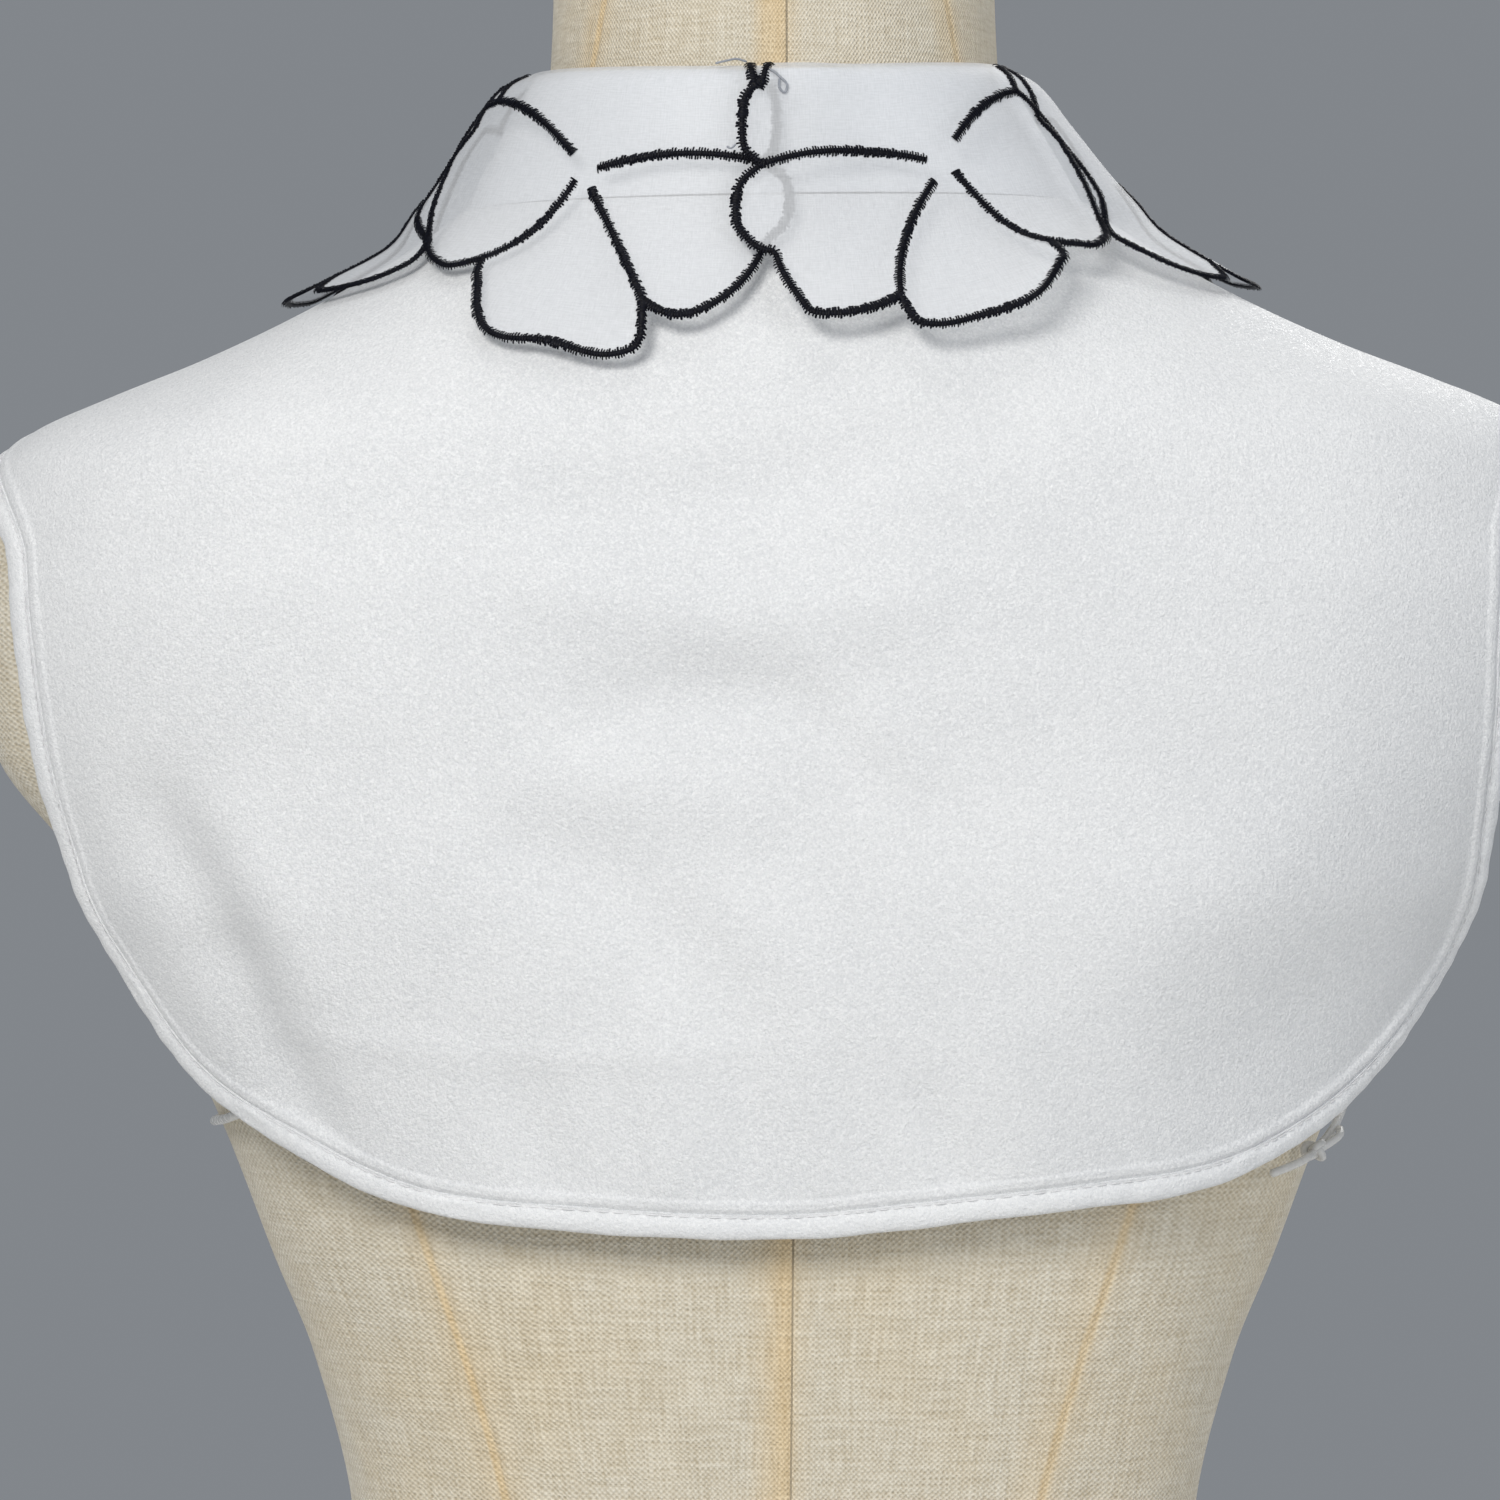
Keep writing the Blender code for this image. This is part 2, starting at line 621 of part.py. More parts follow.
class LeafPattern:
    """Flat shapes of one leaf: the cloth as polygons, the stitched lines as open runs of points."""

    def __init__(self, leaf, side):
        self.leaf, self.side = leaf, side
        self.cloth, self.lines, self.edges = [], [], []
        if side > 0:
            back, joints, lobes, back_corner = LEFT_FLOWER, LEFT_JOINTS, LEFT_LOBES, LEFT_CORNER
        else:
            back, joints, lobes, back_corner = RIGHT_FLOWER, RIGHT_JOINTS, RIGHT_LOBES, RIGHT_CORNER
        front = (side * FRONT_FLOWER[0], FRONT_FLOWER[1])
        front_corner = (side * FRONT_CORNER[0], *FRONT_CORNER[1:])
        self.end_flower(back, side, joints, lobes)
        self.end_flower(front, -side, FRONT_JOINTS, FRONT_LOBES)
        self.shoulder_flower()
        self.strip(back_corner[0], front_corner[0])
        self.corner(back, joints[0], back_corner, side)
        self.corner(front, FRONT_JOINTS[0], front_corner, -side)

    def add_line(self, points, middle, away):
        self.lines.append([self.leaf.unroll(middle, a, d, away) for a, d in points])

    def flower(self, middle, away, joints, lobes, closing):
        border = polar_points(lobed_line(joints, lobes, EDGE_STEP))
        self.add_line(border, middle, away)
        self.edges.append(self.lines[-1])
        for joint in joints:
            if joint[2]:
                self.add_line(spoke(joint), middle, away)
        self.cloth.append([self.leaf.unroll(middle, a, d, away) for a, d in border + closing])

    def end_flower(self, middle, away, joints, lobes):
        self.flower(middle, away, joints, lobes, [(20.0, -20.0), (-20.0, -20.0)])
        angle, radius = math.radians(joints[-1][0]), joints[-1][1]
        u, v = self.leaf.unroll(middle, radius * math.sin(angle), radius * math.cos(angle), away)
        self.lines.append([(u, v), (u - away * 1.5, 0.5 * (v + PETAL_TOP)), (u - away * 1.0, PETAL_TOP)])

    def shoulder_flower(self):
        middle = (self.side * SHOULDER_FLOWER[0], SHOULDER_FLOWER[1])
        joints = LEFT_SHOULDER_JOINTS if self.side > 0 else RIGHT_SHOULDER_JOINTS
        closing = [(34.0, -14.0), (-34.0, -14.0)]
        self.flower(middle, self.side, joints, SHOULDER_LOBES, closing)

    def strip(self, start, end):
        count = round(abs(math.radians(end - start)) * FLAT_RADIUS / STRIP_STEP)
        angles = [math.radians(start + (end - start) * k / count) * FLAT_RADIUS for k in range(count + 1)]
        top = [(u, COLLAR_CAP[0][0]) for u in angles]
        bottom = [(u, STRIP_DEPTH) for u in reversed(angles[1:-1])]
        self.cloth.append(top + bottom)
        self.edges.append(top)
        self.fold_levels = [(u, v) for u in angles for v in FOLD_LEVELS]

    def corner(self, middle, joint, corner, away):
        """The rounded corner between the spoke at the leaf's end and the fold."""
        line, swell, start = corner
        angle, radius = math.radians(joint[0]), joint[1]
        low = self.leaf.unroll(middle, radius * math.sin(angle), radius * math.cos(angle), away)
        top = (math.radians(line) * FLAT_RADIUS, start)
        points = []
        for k in range(CORNER_PARTS + 1):
            t = k / CORNER_PARTS
            bump = -away * swell * (1 - abs(2 * t - 1) ** CORNER_FULLNESS) ** (1 / CORNER_FULLNESS)
            points.append((low[0] + (top[0] - low[0]) * t + bump, low[1] + (top[1] - low[1]) * t))
        self.lines.append(points)
        cap = (top[0], COLLAR_CAP[0][0])
        levels = [level for level in reversed(FOLD_LEVELS) if level < start]
        self.edges.append(points + [(top[0], level) for level in levels] + [cap])
        inner = low[0] + away * 14.0
        self.cloth.append(points + [cap, (inner, cap[1]), (inner, low[1] + 4.0)])


def ribbon(points, width):
    """A band of the given width along a run of points."""
    left, right = [], []
    for k, (x, y) in enumerate(points):
        before, after = points[max(k - 1, 0)], points[min(k + 1, len(points) - 1)]
        dx, dy = after[0] - before[0], after[1] - before[1]
        length = math.hypot(dx, dy)
        nx, ny = -dy / length * width / 2, dx / length * width / 2
        left.append((x + nx, y + ny))
        right.append((x - nx, y - ny))
    return left, right


def far_from(points, others, distance):
    others = np.array(others)
    kept = []
    for point in points:
        if np.min(np.hypot(others[:, 0] - point[0], others[:, 1] - point[1])) > distance:
            kept.append(point)
    return kept


def holds(polygon, spots):
    """Which of the spots lie inside the polygon, by counting the sides that a ray crosses."""
    corners = np.array(polygon)
    following = np.roll(corners, -1, axis=0)
    crossings = np.zeros(len(spots), int)
    for (x1, y1), (x2, y2) in zip(corners, following):
        if y1 == y2:
            continue
        spans = (spots[:, 1] > min(y1, y2)) & (spots[:, 1] <= max(y1, y2))
        at = x1 + (spots[:, 1] - y1) * (x2 - x1) / (y2 - y1)
        crossings += spans & (spots[:, 0] < at)
    return crossings % 2 == 1


def triangles_inside(polygons, lines, extra):
    """Triangles of the union of the polygons, in the flat. The lines are kept as edges."""
    points, edges = [], []
    for line in lines:
        first = len(points)
        points.extend(line)
        edges += [(i, i + 1) for i in range(first, len(points) - 1)]
    points.extend(extra)
    found = delaunay_2d_cdt([Vector(p) for p in points], edges, [], 0, 0.05, False)
    corners, triangles = found[0], found[2]
    middles = np.array([sum((corners[i] for i in t), Vector((0, 0))) / 3 for t in triangles])
    inside = np.zeros(len(triangles), bool)
    for polygon in polygons:
        inside |= holds(polygon, middles)
    kept = [list(t) for t, owned in zip(triangles, inside) if owned]
    used = sorted({i for t in kept for i in t})
    order = {old: new for new, old in enumerate(used)}
    return [tuple(corners[i]) for i in used], [[order[i] for i in t] for t in kept]


def wall_from_flat(points, triangles, place_at):
    """Raises flat triangles into a closed wall: place_at(u, v, side)."""
    count = len(points)
    solid = [place_at(u, v, 0) for u, v in points] + [place_at(u, v, 1) for u, v in points]
    faces, edges = [], {}
    for a, b, c in triangles:
        faces.append([a + count, b + count, c + count])
        faces.append([c, b, a])
        for edge in ((a, b), (b, c), (c, a)):
            edges[edge] = True
    for a, b in edges:
        if (b, a) not in edges:
            faces.append([a, b, b + count, a + count])
    return solid, faces


def build_form(collection, made_of):
    levels = [row[0] for row in FORM_SECTIONS]
    drops = []
    for low, high in zip(levels, levels[1:]):
        parts = 2 if high - low > 45 else 1
        drops += [low + (high - low) * k / parts for k in range(parts)]
    drops.append(levels[-1])
    rings = []
    for drop in drops:
        ring = []
        half_width, back, front, _ = form_section(drop)
        for k in range(FORM_SIDES):
            turn = 2 * math.pi * k / FORM_SIDES
            depth = back if math.cos(turn) >= 0 else front
            angle = math.atan2(half_width * math.sin(turn), depth * math.cos(turn)) + FORM_TWIST
            ring.append(place(angle, form_radius(angle, drop), drop))
        rings.append(ring)
    top = rings[0]
    middle = sum(top) / len(top)
    for share, rise in NECK_DOME:
        rings.insert(0, [middle + (point - middle) * share + np.array((0, 0, rise)) for point in top])
    add_mesh(collection, "form_body", *tube_from_rings(rings), made_of)


def build_bib(collection, crepe, trim):
    back = bib_panel(BACK_EDGE, SHOULDER_SEAM, -SHOULDER_SEAM, 1)
    add_mesh(collection, "bib_back", *wall_from_grid(back, *BACK_GRID), crepe)
    add_mesh(collection, "binding_back", *tube_from_rings(binding_rings(BACK_EDGE, BACK_GRID[0], 1)), trim)
    for name, flip in (("left", 1), ("right", -1)):
        start, end = FRONT_EDGE[0][0], FRONT_EDGE[-1][0]
        front = bib_panel(FRONT_EDGE, start, end, flip)
        add_mesh(collection, "bib_front_" + name, *wall_from_grid(front, *FRONT_GRID), crepe)
        rings = binding_rings(FRONT_EDGE, FRONT_GRID[0], flip)
        add_mesh(collection, "binding_front_" + name, *tube_from_rings(rings), trim)


def build_band(collection, made_of, leaf):
    def point_at(column, row, side):
        angle = (2 * column - 1) * (math.pi - BAND_GAP)
        low = cloth_point(angle, neck_drop(angle) - 2 * SEAM, 0.5 * (BIB_INNER + BIB_OUTER))
        radius, drop = leaf.profile(angle, 0.0)
        high = place(angle, radius - BAND_IN, drop + SEAM)
        middle = low + (high - low) * row
        slope = high - low
        around = np.array((math.cos(angle), -math.sin(angle), 0.0))
        normal = outward(middle, around, slope)
        return middle + normal * (BAND_HALF_WALL if side else -BAND_HALF_WALL)

    add_mesh(collection, "neck_band", *wall_from_grid(point_at, *BAND_GRID), made_of)


def build_leaf(collection, name, side, leaf, organza, thread):
    pattern = LeafPattern(leaf, side)
    outline = [point for line in pattern.edges for point in line]
    us = [u for u, _ in outline]
    vs = [v for _, v in outline]
    grid = []
    u = min(us)
    while u < max(us):
        v = FOLD_LEVELS[-1] + 5.0
        while v < max(vs):
            grid.append((u, v))
            v += GRID_STEP
        u += GRID_STEP
    extra = far_from(grid, outline, 0.45 * GRID_STEP)
    extra += far_from(pattern.fold_levels, outline, 0.8)
    points, triangles = triangles_inside(pattern.cloth, pattern.edges, extra)

    def cloth_at(u, v, face):
        out = COLLAR_HALF_WALL if face else -COLLAR_HALF_WALL
        return leaf.point(u / FLAT_RADIUS, v, out, side)

    add_mesh(collection, "collar_" + name, *wall_from_flat(points, triangles, cloth_at), organza)

    bands = []
    for line in pattern.lines:
        left, right = ribbon(line, CORD_WIDTH)
        for k in range(len(line) - 1):
            bands.append([left[k], left[k + 1], right[k + 1], left[k]])
            bands.append([left[k], right[k + 1], right[k], left[k]])
    points, triangles = triangles_inside(bands, bands, [])

    def thread_at(u, v, face):
        return leaf.point(u / FLAT_RADIUS, v, CORD_TOP if face else CORD_BASE, side)

    add_mesh(collection, "embroidery_" + name, *wall_from_flat(points, triangles, thread_at), thread)


def build_placket(collection, crepe, button_white):
    top, bottom = neck_drop(math.pi) + 1.0, FRONT_EDGE[-1][1] - BINDING_WIDTH - 3.0

    def point_at(column, row, side):
        drop = top + (bottom - top) * row
        across = PLACKET_WIDTH * (column - 0.5)
        angle = math.pi + across / cloth_radius(math.pi, drop)
        return cloth_point(angle, drop, PLACKET_WALL[side])

    add_mesh(collection, "placket", *wall_from_grid(point_at, *PLACKET_GRID), crepe)
    for number, drop in enumerate(BUTTON_DROPS, 1):
        face = PLACKET_WALL[1] + SEAM
        seat = Vector(cloth_point(math.pi, drop, face))
        normal = Vector(cloth_point(math.pi, drop, face + 1.0)) - seat
        middle = seat + normal * (BUTTON_THICK / 2 + 0.1)
        add_button(collection, f"button_{number}", middle, normal, button_white)


def add_button(collection, name, middle, normal, made_of):
    turned = normal.to_track_quat("Z", "Y").to_matrix().to_4x4()
    radius, thick = BUTTON_RADIUS * MM, BUTTON_THICK * MM
    work = bmesh.new()
    bmesh.ops.create_cone(
        work, cap_ends=True, segments=BUTTON_SIDES, radius1=radius, radius2=radius,
        depth=thick, matrix=Matrix.Translation(middle * MM) @ turned,
    )
    caps = [face for face in work.faces if len(face.verts) == BUTTON_SIDES]
    rims = [edge for cap in caps for edge in cap.edges]
    bmesh.ops.bevel(work, geom=rims, offset=BUTTON_ROUNDING * MM, segments=1, affect="EDGES")
    mesh = bpy.data.meshes.new(name)
    work.to_mesh(mesh)
    work.free()
    button = bpy.data.objects.new(name, mesh)
    collection.objects.link(button)
    mesh.materials.append(made_of)


def build_elastic(collection, clear, name, flip):
    points = []
    for k in range(ELASTIC_PARTS + 1):
        angle, drop, out = along(ELASTIC_ROUTE, k / ELASTIC_PARTS)
        angle = math.radians(angle) * flip
        points.append(place(angle, form_radius(angle, drop) + out, drop))
    curve = bpy.data.curves.new("elastic_" + name, "CURVE")
    curve.dimensions = "3D"
    spline = curve.splines.new("POLY")
    spline.points.add(len(points) - 1)
    for knot, point in zip(spline.points, points):
        knot.co = (*(point * MM), 1.0)
    curve.bevel_depth = ELASTIC_RADIUS * MM
    curve.bevel_resolution = 1
    curve.use_fill_caps = True
    curve.materials.append(clear)
    elastic = bpy.data.objects.new("elastic_" + name, curve)
    collection.objects.link(elastic)


def main():
    for obj in list(bpy.data.objects):
        bpy.data.objects.remove(obj, do_unlink=True)
    collection = bpy.data.collections.new("embroidered_false_collar")
    bpy.context.scene.collection.children.link(collection)
    crepe = material("white_crepe", (0.76, 0.78, 0.81), 0.62)
    organza = material("white_organza", (0.80, 0.83, 0.87), 0.5)
    thread = material("black_satin_stitch", (0.010, 0.011, 0.016), 0.42)
    trim = material("white_binding", (0.77, 0.79, 0.83), 0.58)
    clear = material("clear_elastic", (0.78, 0.78, 0.77), 0.3)
    buttons = material("white_button", (0.82, 0.82, 0.81), 0.28)
    linen = material("cream_linen", (0.62, 0.54, 0.42), 0.85)
    build_form(collection, linen)
    build_bib(collection, crepe, trim)
    leaf = Leaf()
    build_band(collection, organza, leaf)
    build_leaf(collection, "left", 1, leaf, organza, thread)
    build_leaf(collection, "right", -1, leaf, organza, thread)
    build_placket(collection, crepe, buttons)
    build_elastic(collection, clear, "left", 1)
    build_elastic(collection, clear, "right", -1)


main()
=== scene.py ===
"""Looks of the embroidered false collar and its dress form: cloth, stitching, linen, light and camera.

Lengths in the tables are millimetres. Angles run round the neck from the centre back (0) through the
wearer's left (90) to the centre front (180), and a drop is a height below the level of the collar's fold.
"""

import math
import random

import bmesh
import bpy
import numpy as np
from mathutils import Matrix, Vector
from mathutils.geometry import delaunay_2d_cdt


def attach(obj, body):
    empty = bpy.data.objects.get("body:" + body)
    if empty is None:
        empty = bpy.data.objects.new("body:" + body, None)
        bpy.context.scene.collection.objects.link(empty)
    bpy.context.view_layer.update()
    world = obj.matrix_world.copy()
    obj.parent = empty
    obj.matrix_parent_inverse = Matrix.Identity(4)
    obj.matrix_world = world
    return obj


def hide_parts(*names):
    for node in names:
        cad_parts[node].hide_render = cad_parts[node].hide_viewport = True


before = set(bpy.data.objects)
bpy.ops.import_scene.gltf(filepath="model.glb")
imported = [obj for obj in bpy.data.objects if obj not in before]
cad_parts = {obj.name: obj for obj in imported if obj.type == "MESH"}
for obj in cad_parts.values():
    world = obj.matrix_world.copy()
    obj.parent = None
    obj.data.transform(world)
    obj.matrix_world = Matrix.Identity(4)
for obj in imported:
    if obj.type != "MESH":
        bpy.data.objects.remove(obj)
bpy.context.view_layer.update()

MM = 0.001
BODY = "root"
SIDES = (("left", 1), ("right", -1))
FLAT_AXES = np.array((1.0, 1.0, 0.0))
CHANCE = random.Random(23)
FOLD_HEIGHT = 560.0

# Dress form: drop, half width, depth to the back and to the front, squareness (2 is an ellipse).
FORM_SECTIONS = (
    (-45, 53.2, 50.5, 50.5, 2),
    (-16, 53.8, 51.2, 51.3, 2),
    (0, 54.6, 52, 51.6, 2),
    (10, 56.4, 53.1, 52.2, 2),
    (20, 61, 54.5, 54.2, 2),
    (30, 69, 56.5, 58.5, 2),
    (38, 79, 59.5, 61.5, 2),
    (48, 94, 63, 64, 2),
    (60, 116, 67.5, 67, 2),
    (70, 138, 71.5, 70, 2),
    (79, 161, 75, 73.5, 2.05),
    (87, 179, 78, 77, 2.1),
    (95, 188, 80.5, 80.5, 2.15),
    (110, 193, 84, 87, 2.2),
    (130, 194, 87.5, 96, 2.3),
    (160, 189.5, 90, 108, 2.3),
    (190, 168, 89.5, 115, 2.3),
    (210, 155, 88.5, 115.5, 2.3),
    (253, 134.5, 83, 109, 2.3),
    (288, 121, 78, 101, 2.3),
    (310, 112, 74.5, 97, 2.3),
    (349, 102.5, 68, 89, 2.3),
    (385, 100, 65, 86, 2.3),
    (420, 106, 68, 86, 2.3),
    (470, 125, 82, 88, 2.3),
    (520, 140, 96, 90, 2.3),
    (560, 146, 102, 92, 2.3),
)
FORM_TWIST = math.radians(-1.8)
SHOULDER_TILT = 0.0157
TILT_ENDS = (150.0, 300.0)
# How far the bib hangs clear of the form, and the drops between which that grows.
BACK_HANG = (8.0, 150.0, 285.0)
SIDE_HANG = (12.0, 160.0, 205.0)

# Back princess seam of the linen cover: drop and angle. The front one lies at the first number less its angle
# times the second.
PRINCESS_SEAM = ((-50, 42), (60, 62), (150, 58), (264, 52), (331, 46.8), (385, 44), (565, 46))
FRONT_PRINCESS = (182.0, 0.88)
CENTRE_BACK_SEAM = -2.8
PANEL_PARTS = 14
# Beside a seam: how far from it, height over the linen, and the strength of its tone after and before it.
SEAM_SIDES = (
    (0, -0.22, 0.8, 0),
    (0.5, -0.06, 0.8, 0.5),
    (1.1, 0.1, 0.85, 0.3),
    (2, 0.03, 0, 0.2),
)
# Tone of the tape beside the centre back seam and the others, and how far from a seam it fades out.
TAPE_TONES = (0.85, 0.35)
TAPE_FADE = (4.0, 9.0)
# Rounded top of the neck: share of its width, and rise.
NECK_TOP = ((0.985, 1.2), (0.95, 2.4), (0.88, 3.4), (0.7, 4.6), (0.4, 5.0), (0.05, 5.0))

BIB_OUTER = 2.6
BIB_THICK = 0.5
NECK_DROP = 35.0
FRONT_NECK_FALL = 12.0
SHOULDER_SEAM = 93.0
SEAM = 0.3
# How far below the neck seam the folds fade in, and the rolled edge there: height and reach.
NECK_CALM = 14.0
NECK_ROLL = (0.35, 1.6)

# Outer edge of the bib's back, from the left shoulder seam to the right one: angle and drop.
BACK_EDGE = (
    (93, 91),
    (85, 98),
    (78.5, 112),
    (76, 130),
    (75.2, 157),
    (75.4, 188),
    (73.8, 214),
    (69.5, 239),
    (60.5, 255.5),
    (46, 270.5),
    (24, 275),
    (0, 276.5),
    (-20, 274),
    (-42, 270),
    (-57, 265.5),
    (-68, 254),
    (-76.5, 237),
    (-81.5, 215),
    (-79.5, 190),
    (-77.5, 165),
    (-77, 135),
    (-79.5, 112),
    (-85.5, 98),
    (-93, 91),
)
# Share of an edge, from the shoulder seam on, over which its inner side turns to run along the seam.
SHOULDER_HOLD = 0.05
# How much further down the cloth the inner side lies at the seam than it would straight across the strip.
MITRE = 1.15
# Outer edge of a front, from the shoulder seam to the centre front.
FRONT_EDGE = (
    (93.2, 91),
    (99, 102),
    (103, 125),
    (104.5, 155),
    (105, 190),
    (108, 220),
    (116, 244),
    (130, 257),
    (152, 264),
    (179.8, 267),
)
# Share of an edge over which its direction is taken, and the step round the neck for the cloth's facing.
EDGE_REACH = 0.004
TURN_STEP = 0.01
# Inset from which a panel's points follow its edge, and the one that marks points further in.
EDGE_BAND = 11.0
BODY_INSET = 99.0
BINDING_WIDTH = 6.0
# Folded strip round the edge: distance in from the edge, height over the form.
BINDING_SECTION = (
    (6, 1.3), (6.05, 2.2), (5.9, 2.75), (5.6, 2.72), (5.3, 2.62), (5, 2.74), (4.5, 3.05), (3.6, 3.3),
    (2.4, 3.35), (1.3, 3.2), (0.45, 2.8), (0.05, 2.25), (0.1, 1.75), (0.7, 1.3), (2.2, 1.05), (4.2, 1.1),
)
# Puckers of the back's strip: share of the edge and size. Then their half width, as a share of the edge.
PUCKERS = ((0.27, 1.1), (0.335, 0.8), (0.62, 0.5), (0.4, 0.6), (0.7, 0.7))
PUCKER_REACH = 0.006
# Topstitching: inset, height over the form, length of a stitch, gap, radius, and rise along a stitch.
STITCH_INSET = 5.3
STITCH_OUT = 2.72
STITCH_LENGTH = 2.3
STITCH_GAP = 0.55
STITCH_RADIUS = 0.17
STITCH_RISE = (-0.9, 0.35, 0.8, 0.8, 0.35, -0.9)
# A thread's ends, as a share of its radius, and a direction that few threads take.
THREAD_END = 0.45
THREAD_GUIDE = np.array((0.31, 0.17, 0.93))
# Seam allowance under the bib's edge, which shows as a low ridge: inset where it starts and ends, height.
ALLOWANCE = (6.6, 8.9, 0.42)
# How far the bib's edge dips where it goes under the strip.
TUCK = 0.45

# Soft folds: from x and drop to x and drop, half width, height (troughs are negative). x is + to the
# wearer's left.
BACK_FOLDS = (
    (56, 84, -30, 72, 10, 1.3),
    (50, 108, -52, 87, 9, -2.1),
    (50, 128, -30, 131, 10, 2.5),
    (42, 155, -14, 154, 9, -2.5),
    (-8, 146, -30, 168, 7, 1.6),
    (-14, 160, -40, 186, 10, -1.1),
    (56, 172, 8, 178, 10, 1.7),
    (54, 186, 10, 218, 11, -2.4),
    (24, 198, -20, 228, 12, 1.4),
    (112, 228, 10, 233, 3.6, 0.7),
    (144, 176, 126, 210, 8.5, -3),
    (126, 210, 105, 250, 7.5, -3.4),
    (126, 180, 108, 216, 9, 1.6),
    (-152, 204, -104, 238, 17, -2.9),
    (-130, 172, -84, 210, 14, 1.6),
    (28, 226, 24, 262, 6.5, 1.3),
    (-8, 234, -12, 262, 6, 1.1),
    (8, 230, 7, 262, 6, -1.1),
    (62, 234, 50, 264, 8, -1.5),
    (-34, 244, -42, 264, 4.5, -1.5),
    (-52, 232, -60, 262, 9, 1.1),
    (-166, 84, -176, 96, 4, 0.8),
    (150, 96, 166, 118, 8, 0.7),
    (-104, 60, -150, 98, 12, 0.6),
    (100, 62, 140, 96, 10, 0.6),
)
FRONT_FOLDS = (
    (120, 92, 70, 150, 9, 0.9),
    (96, 92, 52, 158, 8, -0.7),
    (146, 176, 96, 210, 11, -2.8),
    (140, 206, 92, 240, 10, 1.6),
    (70, 196, 62, 258, 9, 1.5),
    (46, 206, 42, 258, 8, -1.2),
    (-126, 90, -74, 142, 10, 0.8),
    (-98, 96, -56, 164, 8, -0.8),
    (-148, 170, -100, 216, 12, -3),
    (-84, 192, -70, 256, 10, 1.7),
    (-52, 210, -50, 260, 8, -1.1),
)
# How much a fold bows, its height at its ends, and where along a half wave they lie.
FOLD_BOW = 0.06
FOLD_END_HEIGHT = 0.45
FOLD_END_SHARE = 0.12
# Degrees over which folds fade in beside the shoulder seam and beside the centre front.
SHOULDER_FADE = 9.0
FRONT_FADE = (14.0, 26.0)

# Collar leaf turned down: drop below its fold, half width, depths to the back and front, squareness.
COLLAR_SECTIONS = (
    (0, 59, 57, 57, 2),
    (1.5, 62.5, 59.5, 60, 2),
    (3.5, 66, 60.8, 61.5, 2),
    (14, 74.3, 62.6, 64, 2),
    (25, 82, 64.5, 66.5, 2),
    (33, 88, 66.5, 69, 2),
    (41, 93, 69, 72, 2),
    (51.5, 107, 72.5, 76, 2),
    (60, 124, 76, 80, 2),
    (75, 155, 81.5, 86, 2.05),
    (90, 185, 86, 92, 2.1),
)
# How far the leaf sits to the left, and between which depths that fades out.
COLLAR_SHIFT = (1.5, 10.0, 40.0)
COLLAR_DEPTH = 92.0
# Least distance of the leaf from the bib, what the placket adds to it, and the angles where that fades out.
COLLAR_CLEAR = 4.2
PLACKET_CLEAR = (1.8, 12.0, 28.0)
COLLAR_SOFTNESS = 2.0
COLLAR_FALL = 12.0
FOLD_LOW_BACK = 3.8
FOLD_LOW_FRONT = 14.0
# Over the top of the stand and down inside it: distance before the fold, how far in, how high.
COLLAR_CAP = (
    (-5.4, 3, -2.6),
    (-3.8, 2.9, -0.7),
    (-2.4, 2.2, 0.35),
    (-1.2, 1, 0.45),
    (0, 0, 0),
)
LAP_RISE = 2.7
FOLD_LAP_RISE = 0.6
LAP_ENDS = (-22.0, -5.0)
PETAL_LIFT = (2.2, 45.0, 75.0)
# Petal tips that stand off: angle, distance below the fold, reach, height.
TIP_LIFTS = (
    (-52, 67, 18, 6.5),
    (-20, 64, 17, 2.2),
    (-43, 76, 18, 2),
    (18, 62, 17, 2.4),
    (37, 72, 20, 1.4),
    (62, 58, 13, 1),
    (92, 70, 22, 1.2),
    (-90, 70, 22, 2.4),
    (122, 68, 20, 1.8),
    (-128, 66, 20, 2.2),
    (160, 62, 17, 1.6),
    (-158, 62, 17, 1.2),
)

# Flowers at the ends of the leaves: at the back of the left and of the right leaf, and at the front of both.
# Middle: angle round the neck and distance below the fold.
# Joints of the outline: angle round the middle from straight down, positive away from the leaf's end, and
# radius, then the radius and angle where the spoke to the joint starts (radius 0 is no spoke) and its bow.
# Lobes between the joints: swell over the joints, fullness, skew (under 1 swells early) and waviness.
LEFT_FLOWER = (39.2, 28.7)
LEFT_JOINTS = (
    (-94.7, 42.5, 3.4, -105, 3.2),
    (-71, 49, 0, 0, 0),
    (-34.7, 41.4, 5.3, -29, 0.3),
    (37.6, 32.8, 3.4, 38, 2.4),
    (112.7, 43.1, 5.7, 134, -3.6),
)
LEFT_LOBES = (
    (4, 2.2, 1, 0),
    (7, 1.8, 1.9, 0),
    (11.2, 1.9, 0.56, 2),
    (13.5, 2.2, 1.05, 0),
)
RIGHT_FLOWER = (-34.4, 28.5)
RIGHT_JOINTS = (
    (-92.7, 42.1, 3.7, -120, 3.2),
    (-69.4, 51, 0, 0, 0),
    (-65, 47.4, 0, 0, 0),
    (-27.8, 38.6, 4.5, -32, 2.6),
    (38.8, 33.4, 4.3, 62, 1.2),
    (119.5, 34.9, 8.1, 139, -2.8),
)
RIGHT_LOBES = (
    (3.6, 2.2, 1, 0),
    (0.5, 2, 1, 0),
    (10.6, 1.05, 1.06, 0),
    (7, 3, 0.95, 0.7),
    (14.6, 1.2, 0.5, 0),
)
FRONT_FLOWER = (139.0, 30.0)
